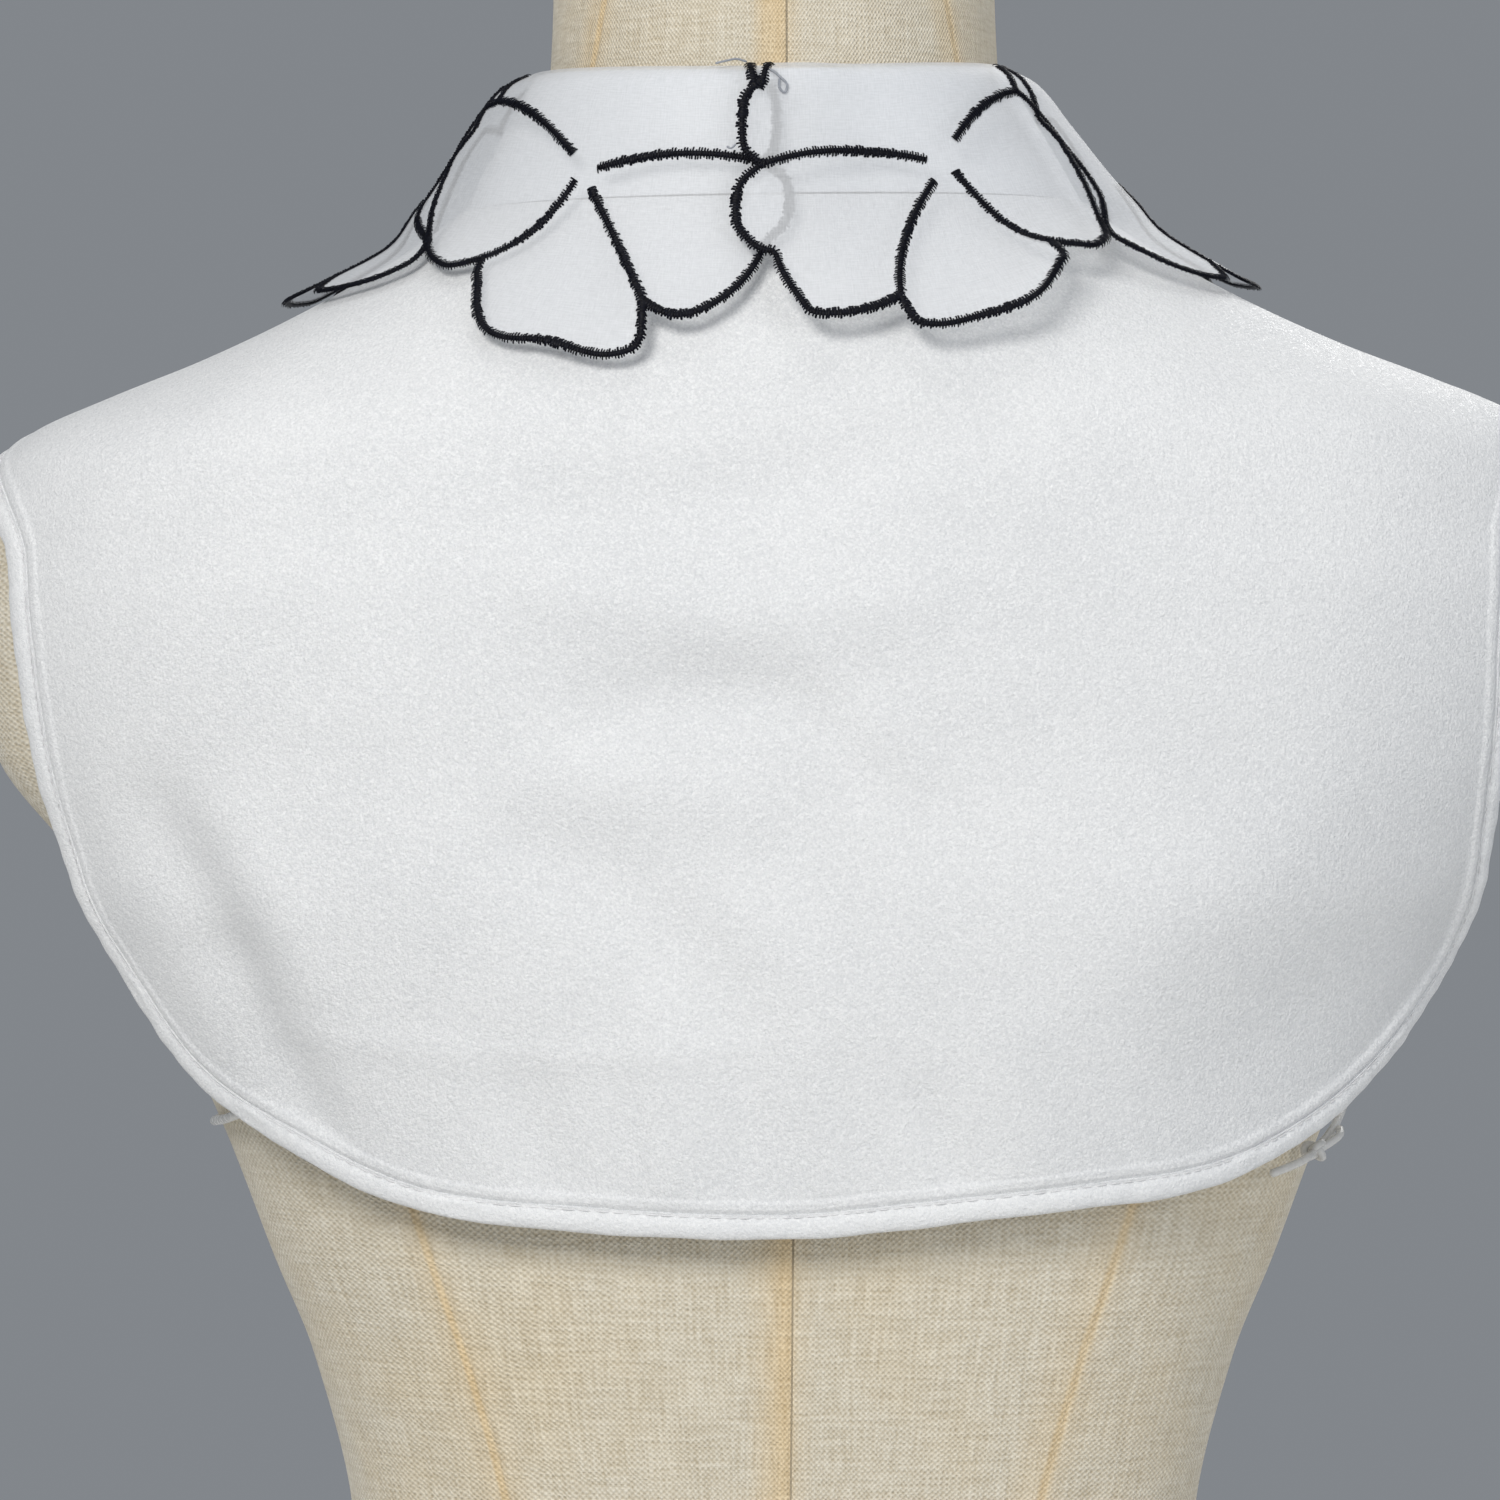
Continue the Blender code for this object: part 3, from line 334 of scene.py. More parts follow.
FRONT_JOINTS = (
    (-95, 42, 3.6, -80, 3.2),
    (-68, 44.5, 0, 0, 0),
    (-35, 41, 5, -27, 0.5),
    (38, 34.5, 4.2, 40, 2),
    (112, 41.5, 6, 130, -3.6),
)
FRONT_LOBES = (
    (5, 2.2, 1, 0),
    (8, 2, 1.3, 0),
    (12, 1.8, 0.7, 1.5),
    (13.5, 2.2, 1.05, 0),
)
SHOULDER_FLOWER = (91.0, 35.0)
LEFT_SHOULDER_JOINTS = (
    (-66, 40, 0, 0, 0),
    (-24, 37, 4.5, -24, 1.5),
    (24, 37, 4.5, 24, -1.5),
    (66, 40, 0, 0, 0),
)
RIGHT_SHOULDER_JOINTS = (
    (-70, 42, 0, 0, 0),
    (-24, 38, 4.5, -24, 1.5),
    (24, 37, 4.5, 24, -1.5),
    (66, 40, 0, 0, 0),
)
SHOULDER_LOBES = (
    (11, 2.5, 1.1, 0),
    (10, 2.5, 1, 0),
    (11, 2.5, 0.9, 0),
)
# Edges of the shoulder flower's first petals, from the last joint of the back flower: across and down.
UPPER_PETAL = ((11.5, -10.0), (10.0, -4.5), (7.5, 2.0), (3.5, 8.0))
LOWER_PETAL = ((3.5, 8.0), (8.0, 15.0), (10.5, 24.0), (9.5, 32.0))
# Upper corner of a leaf's end: the angle of its edge at the fold, how far the bump under it swells past that
# edge, and how far below the fold the bump starts.
LEFT_CORNER = (1.6, 2.8, 6.2)
RIGHT_CORNER = (2.8, 5.4, 6.2)
FRONT_CORNER = (172.5, 5.0, 4.5)
FRONT_CORNER_END = (3.2, 2.0, 0.6)
CORNER_PARTS = 6
CORNER_FULLNESS = 2.4
STRIP_DEPTH = 26.0
# The line from a flower's last joint up to the fold: how far it leans, how far it bows, parts, and its end.
RISER = (9.0, 1.2)
RISER_PARTS = 14
RISER_TOP = 0.5
FLAT_RADIUS = 75.0
# For each side: the back flower, its joints, its lobes, the leaf's corner and the shoulder flower's joints.
BACK_FLOWERS = {
    1: (LEFT_FLOWER, LEFT_JOINTS, LEFT_LOBES, LEFT_CORNER, LEFT_SHOULDER_JOINTS),
    -1: (RIGHT_FLOWER, RIGHT_JOINTS, RIGHT_LOBES, RIGHT_CORNER, RIGHT_SHOULDER_JOINTS),
}
# Spacing of the points that shape an outline, and of those on the smooth line through them.
EDGE_STEP = 5.6
LINE_STEP = 1.2
STRIP_STEP = 1.6
SPOKE_STEP = 1.5
GRID_STEP = 2.0
GRID_START = 6.0
FOLD_LEVELS = (-4.6, -3.8, -3.1, -2.4, -1.8, -1.2, -0.6, 0.0, 0.7, 1.5, 2.4, 3.4, 4.6)

# Satin stitches: full width, distance between two, height of their crown over the leaf.
SATIN_WIDTH = 2.5
SATIN_STEP = 0.68
SATIN_CROWN = 0.66
# How much a stitch's ends vary in reach.
SATIN_ENDS = (-0.24, 0.32)
# Section of a stitch: share of its reach, share of its crown, and how its width tapers.
SATIN_SECTION = (
    (-1, -0.15625, 0.62), (-0.86, 0.46875, 1), (-0.45, 0.875, 1), (0, 1, 1),
    (0.45, 0.875, 1), (0.86, 0.46875, 1), (1, -0.15625, 0.62),
)
# Padding under the stitches: share of its half width and height. Then that half width, in satin widths.
PAD_SECTION = ((-1, -0.25), (-0.98, 0.05), (-0.6, 0.34), (0, 0.46), (0.6, 0.34), (0.98, 0.05), (1, -0.25))
PAD_SHARE = 0.26
# Two stitched arms at the right leaf's upper corner: angle and distance below the fold.
FOLD_ARMS = (((4.2, 7.8), (5.1, 4.2), (6, 0.2)), ((3.2, 8.2), (2.1, 4.2), (1, 0.2)))
# Loose threads on the leaves: radius, then angle, distance below the fold and height.
LOOSE_THREADS = (
    (0.28, ((6.5, 0.5, 0.9), (9, 0.3, 1.6), (11.5, 1.2, 1.2), (13.6, 1.6, 0.6))),
    (0.3, (
        (1.2, 4.5, 0.4), (-0.6, 5.5, 0.5), (-2.4, 7.5, 0.6), (-2, 9.3, 0.5), (-0.8, 8.2, 0.7), (-0.9, 6.2, 0.5),
    )),
    (0.26, ((9.8, 22.3, 0.5), (8.9, 22.8, 0.7), (8, 21.8, 0.5))),
)

# Stand: distance inside the fold, gap at the front in radians, height over the form at the neck seam, half
# thickness, bow, and points round and up.
BAND_IN = 1.6
BAND_GAP = 0.007
BAND_LOW_OUT = 2.0
BAND_HALF = 0.22
BAND_BOW = 0.35
BAND_GRID = (260, 13)

PLACKET_WIDTH = 24.0
PLACKET_INNER = 3.0
PLACKET_OUT = 3.9
PLACKET_ENDS = (NECK_DROP + FRONT_NECK_FALL + 1.0, FRONT_EDGE[-1][1] - BINDING_WIDTH - 3.0)
PLACKET_HEM = 2.0
PLACKET_GRID = (33, 150)
STITCH_SINK = 0.22
# Buttonholes: half length, stitches to a side, how far they reach from the slit, and their heights.
SLIT_HALF = 6.6
SLIT_STITCHES = 46
SLIT_LIPS = (0.35, 1.25)
SLIT_RISE = (3.75, 4.05, 4.05, 3.75)
BUTTON_DROPS = (102.0, 148.0, 194.0, 240.0)
BUTTON_THICK = 2.2
BUTTON_SIDES = 48
# A button from the middle of its underside over its rim to its well: radius and height.
BUTTON_PROFILE = (
    (0, -1.05), (3.9, -1.05), (4.6, -0.85), (4.95, -0.35), (5, 0.25), (4.85, 0.75), (4.45, 1.05),
    (3.95, 1.05), (3.55, 0.75), (3.1, 0.45), (2.4, 0.35),
)
# Its four holes: distance from the middle both ways, radius, depth and sides.
HOLE_AWAY = 0.95
HOLE_RADIUS = 0.55
HOLE_FLOOR = -0.9
HOLE_SIDES = 12

ELASTIC_RADIUS = 1.15
# The right elastic's spare end: from the cord to the knot that hangs below the hem, and its two tails.
ELASTIC_ENDS = (
    ((85, 250, 3), (80, 255, 4.6), (75, 260, 5.8)),
    ((75, 260, 5.8), (71.5, 262, 7.4), (67.5, 264.6, 6.2)),
    ((75, 260, 6.4), (77, 257, 8.4), (79.5, 255.5, 6.4)),
)
# Side elastic from the back edge to the front edge: angle, drop and distance out from the form.
ELASTIC_ROUTE = (
    (58, 244, 7.4),
    (67, 249, 7.4),
    (77, 252, 2.2),
    (92, 254, 1.9),
    (108, 252, 3),
    (117, 247, 8.2),
    (124, 243, 9.2),
)

# Linen: spacing of its threads both ways in metres, its dark and light tones, and its soil and seam tints.
LINEN_SPACINGS = (0.00084, 0.00068)
LINEN_TONES = ((0.42, (0.53, 0.455, 0.325)), (0.98, (0.88, 0.83, 0.71)))
LINEN_SOIL = (1.0, 0.92, 0.78)
LINEN_SEAM = (1.05, 0.90, 0.68)
SHEEN_ROUGHNESS = 0.4

FLOOR_RADIUS = 1.2
FLOOR_SIDES = 96
WORLD_COLOUR = (0.225, 0.24, 0.26)
# Studio lights: name, place and aim in metres, size, watts and colour.
LIGHTS = (
    ("key", (0.8, 2.0, 1.6), (0.0, 0.0, 0.42), (1.0, 0.8), 37.0, (1.0, 0.98, 0.95)),
    ("fill", (-1.7, 1.6, 0.8), (0.0, 0.0, 0.4), (1.4, 1.4), 12.5, (0.97, 0.98, 1.0)),
    ("top", (0.0, 0.2, 2.2), (0.0, 0.0, 0.4), (1.2, 1.2), 7.0, (1.0, 0.99, 0.97)),
    ("front", (-0.9, -1.9, 1.6), (0.0, 0.0, 0.4), (1.6, 1.2), 18.0, (1.0, 0.99, 0.97)),
)
# Camera behind the form: distance, distance to the left, height, and the width that it shows at the axis.
CAMERA_AWAY = 1500.0
CAMERA_ASIDE = 5.856
CAMERA_HEIGHT = 395.788
VIEW_WIDTH = 366.0
SENSOR_WIDTH = 36.0


def smoothstep(value, low, high):
    t = np.clip((value - low) / (high - low), 0.0, 1.0)
    return t * t * (3.0 - 2.0 * t)


class Curve:
    """A monotone cubic through a table's rows, the first column driving the others."""

    def __init__(self, rows):
        table = np.array(rows, float)
        self.keys, self.values = table[:, 0], table[:, 1:]
        rises = np.diff(self.values, axis=0) / np.diff(self.keys)[:, None]
        before, after = rises[:-1], rises[1:]
        total = np.where(before + after == 0, 1.0, before + after)
        middle = np.where(before * after > 0, 2.0 * before * after / total, 0.0)
        self.slopes = np.concatenate((rises[:1], middle, rises[-1:]))

    def __call__(self, key):
        key = np.clip(key, self.keys[0], self.keys[-1])
        i = np.clip(np.searchsorted(self.keys, key) - 1, 0, len(self.keys) - 2)
        h = (self.keys[i + 1] - self.keys[i])[..., None]
        t = (key - self.keys[i])[..., None] / h
        y0, y1 = self.values[i], self.values[i + 1]
        m0, m1 = self.slopes[i], self.slopes[i + 1]
        start = y0 * (1 + 2 * t) * (1 - t) ** 2 + m0 * h * t * (1 - t) ** 2
        end = y1 * t * t * (3 - 2 * t) - m1 * h * t * t * (1 - t)
        return np.moveaxis(start + end, -1, 0)


def along(rows, share):
    """Points on the smooth line through the rows, share running from 0 to 1."""
    table = np.array(rows, float)
    at = np.clip(share, 0.0, 1.0) * (len(table) - 1)
    i = np.minimum(at.astype(int), len(table) - 2)
    t = (at - i)[..., None]
    p, q = table[np.maximum(i - 1, 0)], table[i]
    r, s = table[i + 1], table[np.minimum(i + 2, len(table) - 1)]
    bend = 2 * p - 5 * q + 4 * r - s
    twist = 3 * (q - r) + s - p
    return np.moveaxis(0.5 * (2 * q + (r - p) * t + bend * t * t + twist * t ** 3), -1, 0)


form_section = Curve(FORM_SECTIONS)
collar_section = Curve(COLLAR_SECTIONS)
collar_cap = Curve(COLLAR_CAP)
princess_seam = Curve(PRINCESS_SEAM)


def unit(vectors):
    return vectors / np.linalg.norm(vectors, axis=-1, keepdims=True)


def section_radius(angle, half_width, back, front, square):
    across, forth = np.abs(np.sin(angle)), np.cos(angle)
    depth = np.where(forth >= 0, back, front)
    return ((across / half_width) ** square + (np.abs(forth) / depth) ** square) ** (-1.0 / square)


def form_radius(angle, drop):
    return section_radius(angle - FORM_TWIST, *form_section(drop))


def cloth_radius(angle, drop):
    side = np.sin(angle) ** 2
    back_hang = BACK_HANG[0] * smoothstep(drop, *BACK_HANG[1:])
    side_hang = SIDE_HANG[0] * smoothstep(drop, *SIDE_HANG[1:])
    return form_radius(angle, drop) + back_hang * (1 - side) + side_hang * side


def place(angle, radius, drop):
    x = radius * np.sin(angle)
    tilt = SHOULDER_TILT * x * (1 - smoothstep(drop, *TILT_ENDS))
    return np.stack((x, radius * np.cos(angle), FOLD_HEIGHT - drop - tilt), axis=-1)


def cloth_point(angle, drop, out):
    """A place a given distance out from the surface that the bib's cloth follows."""
    angle, drop = np.broadcast_arrays(np.asarray(angle, float), np.asarray(drop, float))
    here = place(angle, cloth_radius(angle, drop), drop)
    around = place(angle + TURN_STEP, cloth_radius(angle + TURN_STEP, drop), drop) - here
    down = place(angle, cloth_radius(angle, drop + 1.0), drop + 1.0) - here
    normal = unit(np.cross(around, down))
    inward = (normal * here)[..., :2].sum(axis=-1) < 0
    normal = np.where(inward[..., None], -normal, normal)
    return here + normal * np.asarray(out, float)[..., None]


def neck_drop(angle):
    return NECK_DROP + FRONT_NECK_FALL * np.maximum(-np.cos(angle), 0.0) ** 2


def edge_point(rows, share, inset):
    """Angle and drop of a point on an outer edge, moved in along the cloth."""
    share = np.asarray(share, float)
    angle, drop = along(rows, share)
    first = along(rows, np.maximum(share - EDGE_REACH, 0.0))
    last = along(rows, np.minimum(share + EDGE_REACH, 1.0))
    angle = np.radians(angle)
    radius = cloth_radius(angle, drop)
    slant = np.hypot(1.0, cloth_radius(angle, drop + 1.0) - radius)
    run = np.radians(last[0] - first[0]) * radius
    fall = (last[1] - first[1]) * slant
    turned = inset / np.hypot(run, fall)
    if rows[0][0] < rows[-1][0]:
        turned = -turned
    far = (rows[-1][0] < 0) & (share > 0.5)
    hold = 1.0 - smoothstep(np.where(far, 1.0 - share, share), 0.0, SHOULDER_HOLD)
    across = turned * fall * (1.0 - hold)
    down = turned * run * (1.0 + hold * (MITRE - 1.0))
    return angle - across / radius, drop + down / slant


def fold_height(angle, drop):
    """Height of the soft folds at a place on the bib."""
    x = cloth_radius(angle, drop) * np.sin(angle)
    height = np.zeros_like(x)
    back = np.cos(angle) >= 0
    for table, here in ((BACK_FOLDS, back), (FRONT_FOLDS, ~back)):
        for x1, drop1, x2, drop2, width, rise in table:
            run, fall = x2 - x1, drop2 - drop1
            share = ((x - x1) * run + (drop - drop1) * fall) / (run * run + fall * fall)
            held = np.clip(share, 0.0, 1.0)
            bow = FOLD_BOW * math.hypot(run, fall) * np.sin(math.pi * held) * math.sin(x1 + drop2)
            away = np.hypot(x - x1 - run * held, drop - drop1 - fall * held + bow)
            middle = np.sin(math.pi * (FOLD_END_SHARE + (1 - 2 * FOLD_END_SHARE) * held))
            fade = FOLD_END_HEIGHT + (1 - FOLD_END_HEIGHT) * middle
            height += np.where(here, rise * fade * np.exp(-((away / width) ** 2)), 0.0)
    around = np.abs(np.degrees(angle))
    height = height * smoothstep(np.abs(around - 90.0), 0.0, SHOULDER_FADE)
    return height * np.where(back, 1.0, smoothstep(180.0 - around, *FRONT_FADE))


def new_object(name, mesh, made_of, slot, replaces=(), smooth_angle=50.0):
    """A finished piece; a smooth angle of 0 leaves no edge sharp."""
    obj = bpy.data.objects.new(name, mesh)
    bpy.context.scene.collection.objects.link(obj)
    mesh.materials.append(made_of)
    mesh.shade_smooth()
    if smooth_angle:
        mesh.set_sharp_from_angle(angle=math.radians(smooth_angle))
    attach(obj, BODY)
    if replaces:
        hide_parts(*replaces)
    return obj


def mesh_from(name, points, faces, flat=None):
    """A mesh in metres from points in millimetres; flat gives each point's place in the weave."""
    mesh = bpy.data.meshes.new(name)
    mesh.from_pydata((np.asarray(points, float) * MM).tolist(), [], [tuple(face) for face in faces])
    if flat is not None:
        layer = mesh.uv_layers.new(name="weave")
        corners = np.empty(len(mesh.loops), np.int32)
        mesh.loops.foreach_get("vertex_index", corners)
        layer.data.foreach_set("uv", (np.asarray(flat, float)[corners] * MM).ravel())
    return mesh


def face_out(mesh, weld=0.0):
    """Turn all faces outward, after welding points closer than a distance in metres."""
    work = bmesh.new()
    work.from_mesh(mesh)
    if weld:
        bmesh.ops.remove_doubles(work, verts=work.verts, dist=weld)
    bmesh.ops.recalc_face_normals(work, faces=work.faces)
    work.to_mesh(mesh)
    work.free()
    return mesh


def shell_from_grid(name, outer, inner, flat):
    """A closed thin shell from two grids of points (columns, rows, 3)."""
    columns, rows = outer.shape[:2]
    layer = columns * rows

    def number(side, i, j):
        return side * layer + i * rows + j

    faces = []
    for side in (0, 1):
        for i in range(columns - 1):
            for j in range(rows - 1):
                corners = [number(side, *at) for at in ((i, j), (i + 1, j), (i + 1, j + 1), (i, j + 1))]
                faces.append(corners if side else corners[::-1])
    rim = [(i, 0) for i in range(columns - 1)] + [(columns - 1, j) for j in range(rows - 1)]
    rim += [(i, rows - 1) for i in range(columns - 1, 0, -1)] + [(0, j) for j in range(rows - 1, 0, -1)]
    for here, there in zip(rim, rim[1:] + rim[:1]):
        faces.append((number(0, *here), number(0, *there), number(1, *there), number(1, *here)))
    points = np.concatenate((outer.reshape(-1, 3), inner.reshape(-1, 3)))
    return face_out(mesh_from(name, points, faces, np.concatenate([flat.reshape(-1, 2)] * 2)))


def tube_faces(rings, size):
    """Faces of a closed tube of rings, each with the same number of points."""
    faces = []
    for first in range(0, (rings - 1) * size, size):
        for i in range(size):
            j = (i + 1) % size
            faces.append((first + i, first + j, first + size + j, first + size + i))
    faces.append(tuple(range(size))[::-1])
    faces.append(tuple(range((rings - 1) * size, rings * size)))
    return faces


def thread_tube(path, radius, sides=6):
    """Points and faces of a round thread along a path, thinner at both ends."""
    path = np.asarray(path, float)
    ahead = unit(np.gradient(path, axis=0))
    aside = unit(np.cross(ahead, THREAD_GUIDE))
    above = np.cross(aside, ahead)
    size = np.full(len(path), radius)
    size[[0, -1]] *= THREAD_END
    turns = 2 * math.pi * np.arange(sides) / sides
    ring = np.cos(turns)[:, None] * aside[:, None] + np.sin(turns)[:, None] * above[:, None]
    points = path[:, None] + size[:, None, None] * ring
    return points.reshape(-1, 3), tube_faces(len(path), sides)


def object_of(name, parts, *settings):
    """One piece from parts that each have points and faces."""
    points, faces = [], []
    for part_points, part_faces in parts:
        first = len(points)
        points.extend(part_points)
        faces.extend(tuple(first + i for i in face) for face in part_faces)
    return new_object(name, mesh_from(name, points, faces), *settings)


# Materials


class Look:
    """A procedural material under way: its shader, and short ways to add and join nodes."""

    def __init__(self, name, colour, roughness, sheen=0.0, specular=0.5):
        self.made = bpy.data.materials.new(name)
        self.made.use_nodes = True
        self.tree = self.made.node_tree
        self.shader = self.tree.nodes["Principled BSDF"]
        self.set("Base Color", colour)
        self.set("Roughness", roughness)
        self.set("Sheen Weight", sheen)
        self.set("Sheen Roughness", SHEEN_ROUGHNESS)
        self.set("Specular IOR Level", specular)

    def feed(self, socket, value):
        """Join a socket to another one, or set it to a number, a vector or a colour."""
        if isinstance(value, bpy.types.NodeSocket):
            self.tree.links.new(value, socket)
        else:
            socket.default_value = (*value, 1.0) if socket.type == "RGBA" else value

    def set(self, name, value):
        self.feed(self.shader.inputs[name], value)

    def add(self, kind, inputs, **settings):
        node = self.tree.nodes.new(kind)
        for name, value in settings.items():
            setattr(node, name, value)
        for name, value in inputs.items():
            self.feed(node.inputs[name], value)
        return node

    def place(self, stretch=(1.0, 1.0, 1.0), kind="Object"):
        """Coordinates in metres, stretched: those of the object, or of the weave (UV)."""
        source = self.add("ShaderNodeTexCoord", {}).outputs[kind]
        return self.add("ShaderNodeMapping", {"Vector": source, "Scale": stretch}).outputs["Vector"]

    def noise(self, vector, scale, detail=2.0, rough=0.5):
        inputs = {"Vector": vector, "Scale": scale, "Detail": detail, "Roughness": rough}
        return self.add("ShaderNodeTexNoise", inputs).outputs["Fac"]

    def ranged(self, value, low, high, to_low=0.0, to_high=1.0):
        inputs = {"Value": value, "From Min": low, "From Max": high, "To Min": to_low, "To Max": to_high}
        return self.add("ShaderNodeMapRange", inputs).outputs["Result"]

    def combine(self, kind, *values):
        return self.add("ShaderNodeMath", dict(enumerate(values)), operation=kind).outputs["Value"]

    def total(self, *terms):
        """The sum of pairs of a value and its weight."""
        parts = [value if weight == 1 else self.combine("MULTIPLY", value, weight) for value, weight in terms]
        result = parts[0]
        for part in parts[1:]:
            result = self.combine("ADD", result, part)
        return result

    def blend(self, amount, first, second, kind="MIX"):
        inputs = {"Factor": amount, "A": first, "B": second}
        return self.add("ShaderNodeMix", inputs, data_type="RGBA", blend_type=kind).outputs["Result"]

    def shades(self, value, low, high, first, second):
        return self.blend(self.ranged(value, low, high), first, second)

    def bump(self, height, distance, strength=1.0):
        inputs = {"Height": height, "Distance": distance, "Strength": strength}
        self.set("Normal", self.add("ShaderNodeBump", inputs).outputs["Normal"])


def crepe_material(name, colour, shade):
    """Crepe: a pebbled surface of twisted threads, with fine glints: real ones from smooth spots, and painted
    glints where the colour of some spots is brightened.
    """
    look = Look(name, colour, 0.6, sheen=0.25, specular=0.4)
    here = look.place()
    pebble = look.noise(here, 1500.0, 3.0, 0.65)
    grain = look.noise(here, 620.0, 2.0, 0.6)
    look.bump(look.total((pebble, 1), (grain, 0.8)), 0.00042, 0.9)
    cloud = look.noise(here, 14.0, 3.0, 0.6)
    tone = look.shades(look.total((cloud, 0.3), (pebble, 0.7)), 0.35, 0.65, shade, colour)
    cells = look.add("ShaderNodeTexVoronoi", {"Vector": here, "Scale": 2300.0})
    glint_spot = look.add("ShaderNodeSeparateColor", {"Color": cells.outputs["Color"]}).outputs["Red"]
    look.set("Roughness", look.ranged(glint_spot, 0.80, 0.97, 0.62, 0.16))
    # Painted glints: in the cells picked for glints, the base colour is brightened towards near white, a
    # painted highlight.
    look.set("Base Color", look.blend(look.ranged(glint_spot, 0.62, 1.0, 0.0, 0.55), tone, (0.97, 0.975, 0.98)))
    return look.made


def organza_material(name, colour, cover):
    """Sheer cloth: fine square weave, partly see-through, with light shining through it."""
    look = Look(name, colour, 0.5, sheen=0.3, specular=0.45)
    here = look.place(kind="UV")
    warp = look.noise(look.place((1.0, 0.12, 1.0), "UV"), 2600.0, 1.0)
    weft = look.noise(look.place((0.12, 1.0, 1.0), "UV"), 2600.0, 1.0)
    weave = look.combine("ADD", warp, weft)
    look.bump(weave, 0.00012, 0.35)
    cloud = look.noise(here, 22.0)
    look.set("Base Color", look.shades(cloud, 0.35, 0.65, [c * 0.965 for c in colour], colour))
    look.set("Alpha", look.ranged(weave, 0.7, 1.3, cover - 0.05, cover + 0.05))
    return look.made


def satin_material():
    """Black satin thread with fine fibres."""
    look = Look("black_satin_thread", (0.003, 0.003, 0.006), 0.5, specular=0.12)
    fibre = look.noise(look.place(), 2400.0)
    look.set("Base Color", look.shades(fibre, 0.35, 0.7, (0.0015, 0.0015, 0.003), (0.004, 0.005, 0.012)))
    look.set("Roughness", look.ranged(fibre, 0.3, 0.7, 0.36, 0.56))
    look.bump(fibre, 0.0001, 0.5)
    return look.made


def thread_material(name, colour):
    """Sewing thread."""
    look = Look(name, colour, 0.5, sheen=0.2)
    fibre = look.noise(look.place(), 2000.0)
    look.set("Base Color", look.shades(fibre, 0.3, 0.7, [c * 0.86 for c in colour], colour))
    look.bump(fibre, 0.00008, 0.6)
    return look.made


def woven(look, vector, *spacings):
    """Plain weave: threads over and under each other, spaced as given both ways, a little uneven."""
    wander = look.combine("MULTIPLY", look.noise(vector, 160.0), 7.0)
    split = look.add("ShaderNodeSeparateXYZ", {"Vector": vector})
    waves = []
    for axis, spacing in zip("XY", spacings):
        turn = look.combine("MULTIPLY", split.outputs[axis], math.pi / spacing)
        waves.append(look.combine("SINE", look.combine("ADD", turn, wander)))
    return look.combine("MULTIPLY", *waves)


def linen_material():
    """Cream linen: an open plain weave with thick and thin threads both ways, faintly soiled."""
    look = Look("cream_linen", (0.64, 0.57, 0.445), 0.86, sheen=0.2, specular=0.2)
    flat = look.place(kind="UV")
    weave = woven(look, flat, *LINEN_SPACINGS)
    warp = look.noise(look.place((1.0, 0.09, 1.0), "UV"), 900.0, 2.0, 0.6)
    weft = look.noise(look.place((0.07, 1.0, 1.0), "UV"), 1000.0, 2.0, 0.6)
    fleck = look.noise(flat, 1300.0, 2.0, 0.7)
    threads = look.combine("ADD", warp, weft)
    look.bump(look.total((weave, 0.4), (threads, 1)), 0.00038, 0.85)
    tone = look.add("ShaderNodeValToRGB", {"Fac": look.total((weave, 0.16), (threads, 0.5), (fleck, 0.4))})
    for element, (at, colour) in zip(tone.color_ramp.elements, LINEN_TONES):
        element.position = at
        element.color = (*colour, 1.0)
    soil = look.ranged(look.noise(look.place(), 26.0, 3.0, 0.6), 0.45, 0.75, 0.0, 0.5)
    stained = look.blend(soil, tone.outputs["Color"], LINEN_SOIL, "MULTIPLY")
    near_seam = look.add("ShaderNodeAttribute", {}, attribute_name="seam_tone").outputs["Fac"]
    look.set("Base Color", look.blend(near_seam, stained, LINEN_SEAM, "MULTIPLY"))
    return look.made


def elastic_material():
    """Clear rubbery cord with a faint ripple."""
    look = Look("clear_elastic", (0.82, 0.82, 0.81), 0.25, specular=0.6)
    ripple = look.noise(look.place(), 700.0)
    look.bump(ripple, 0.0002, 0.5)
    look.set("Roughness", look.ranged(ripple, 0.3, 0.7, 0.18, 0.34))
    look.set("Alpha", 0.72)
    return look.made


def button_material():
    """White plastic with a faint swirl."""
    look = Look("white_button", (0.80, 0.80, 0.79), 0.25, specular=0.6)
    here = look.place()
    swirl = look.noise(here, 260.0, 3.0, 0.6)
    look.set("Base Color", look.shades(swirl, 0.35, 0.65, (0.74, 0.74, 0.73), (0.84, 0.84, 0.83)))
    look.set("Roughness", look.ranged(look.noise(here, 900.0), 0.3, 0.7, 0.2, 0.32))
    look.set("Coat Weight", 0.3)
    return look.made


# Dress form


def panel_angles(drop):
    """Angles of the cover's seams at a drop, in degrees, from the centre back round to it again."""
    back = float(princess_seam(drop)[0])
    front = FRONT_PRINCESS[0] - FRONT_PRINCESS[1] * back
    half = [CENTRE_BACK_SEAM, back, 91.0, front, 179.0]
    return half + [358.0 - front, 268.0, 358.5 - back, 360.0 + CENTRE_BACK_SEAM]


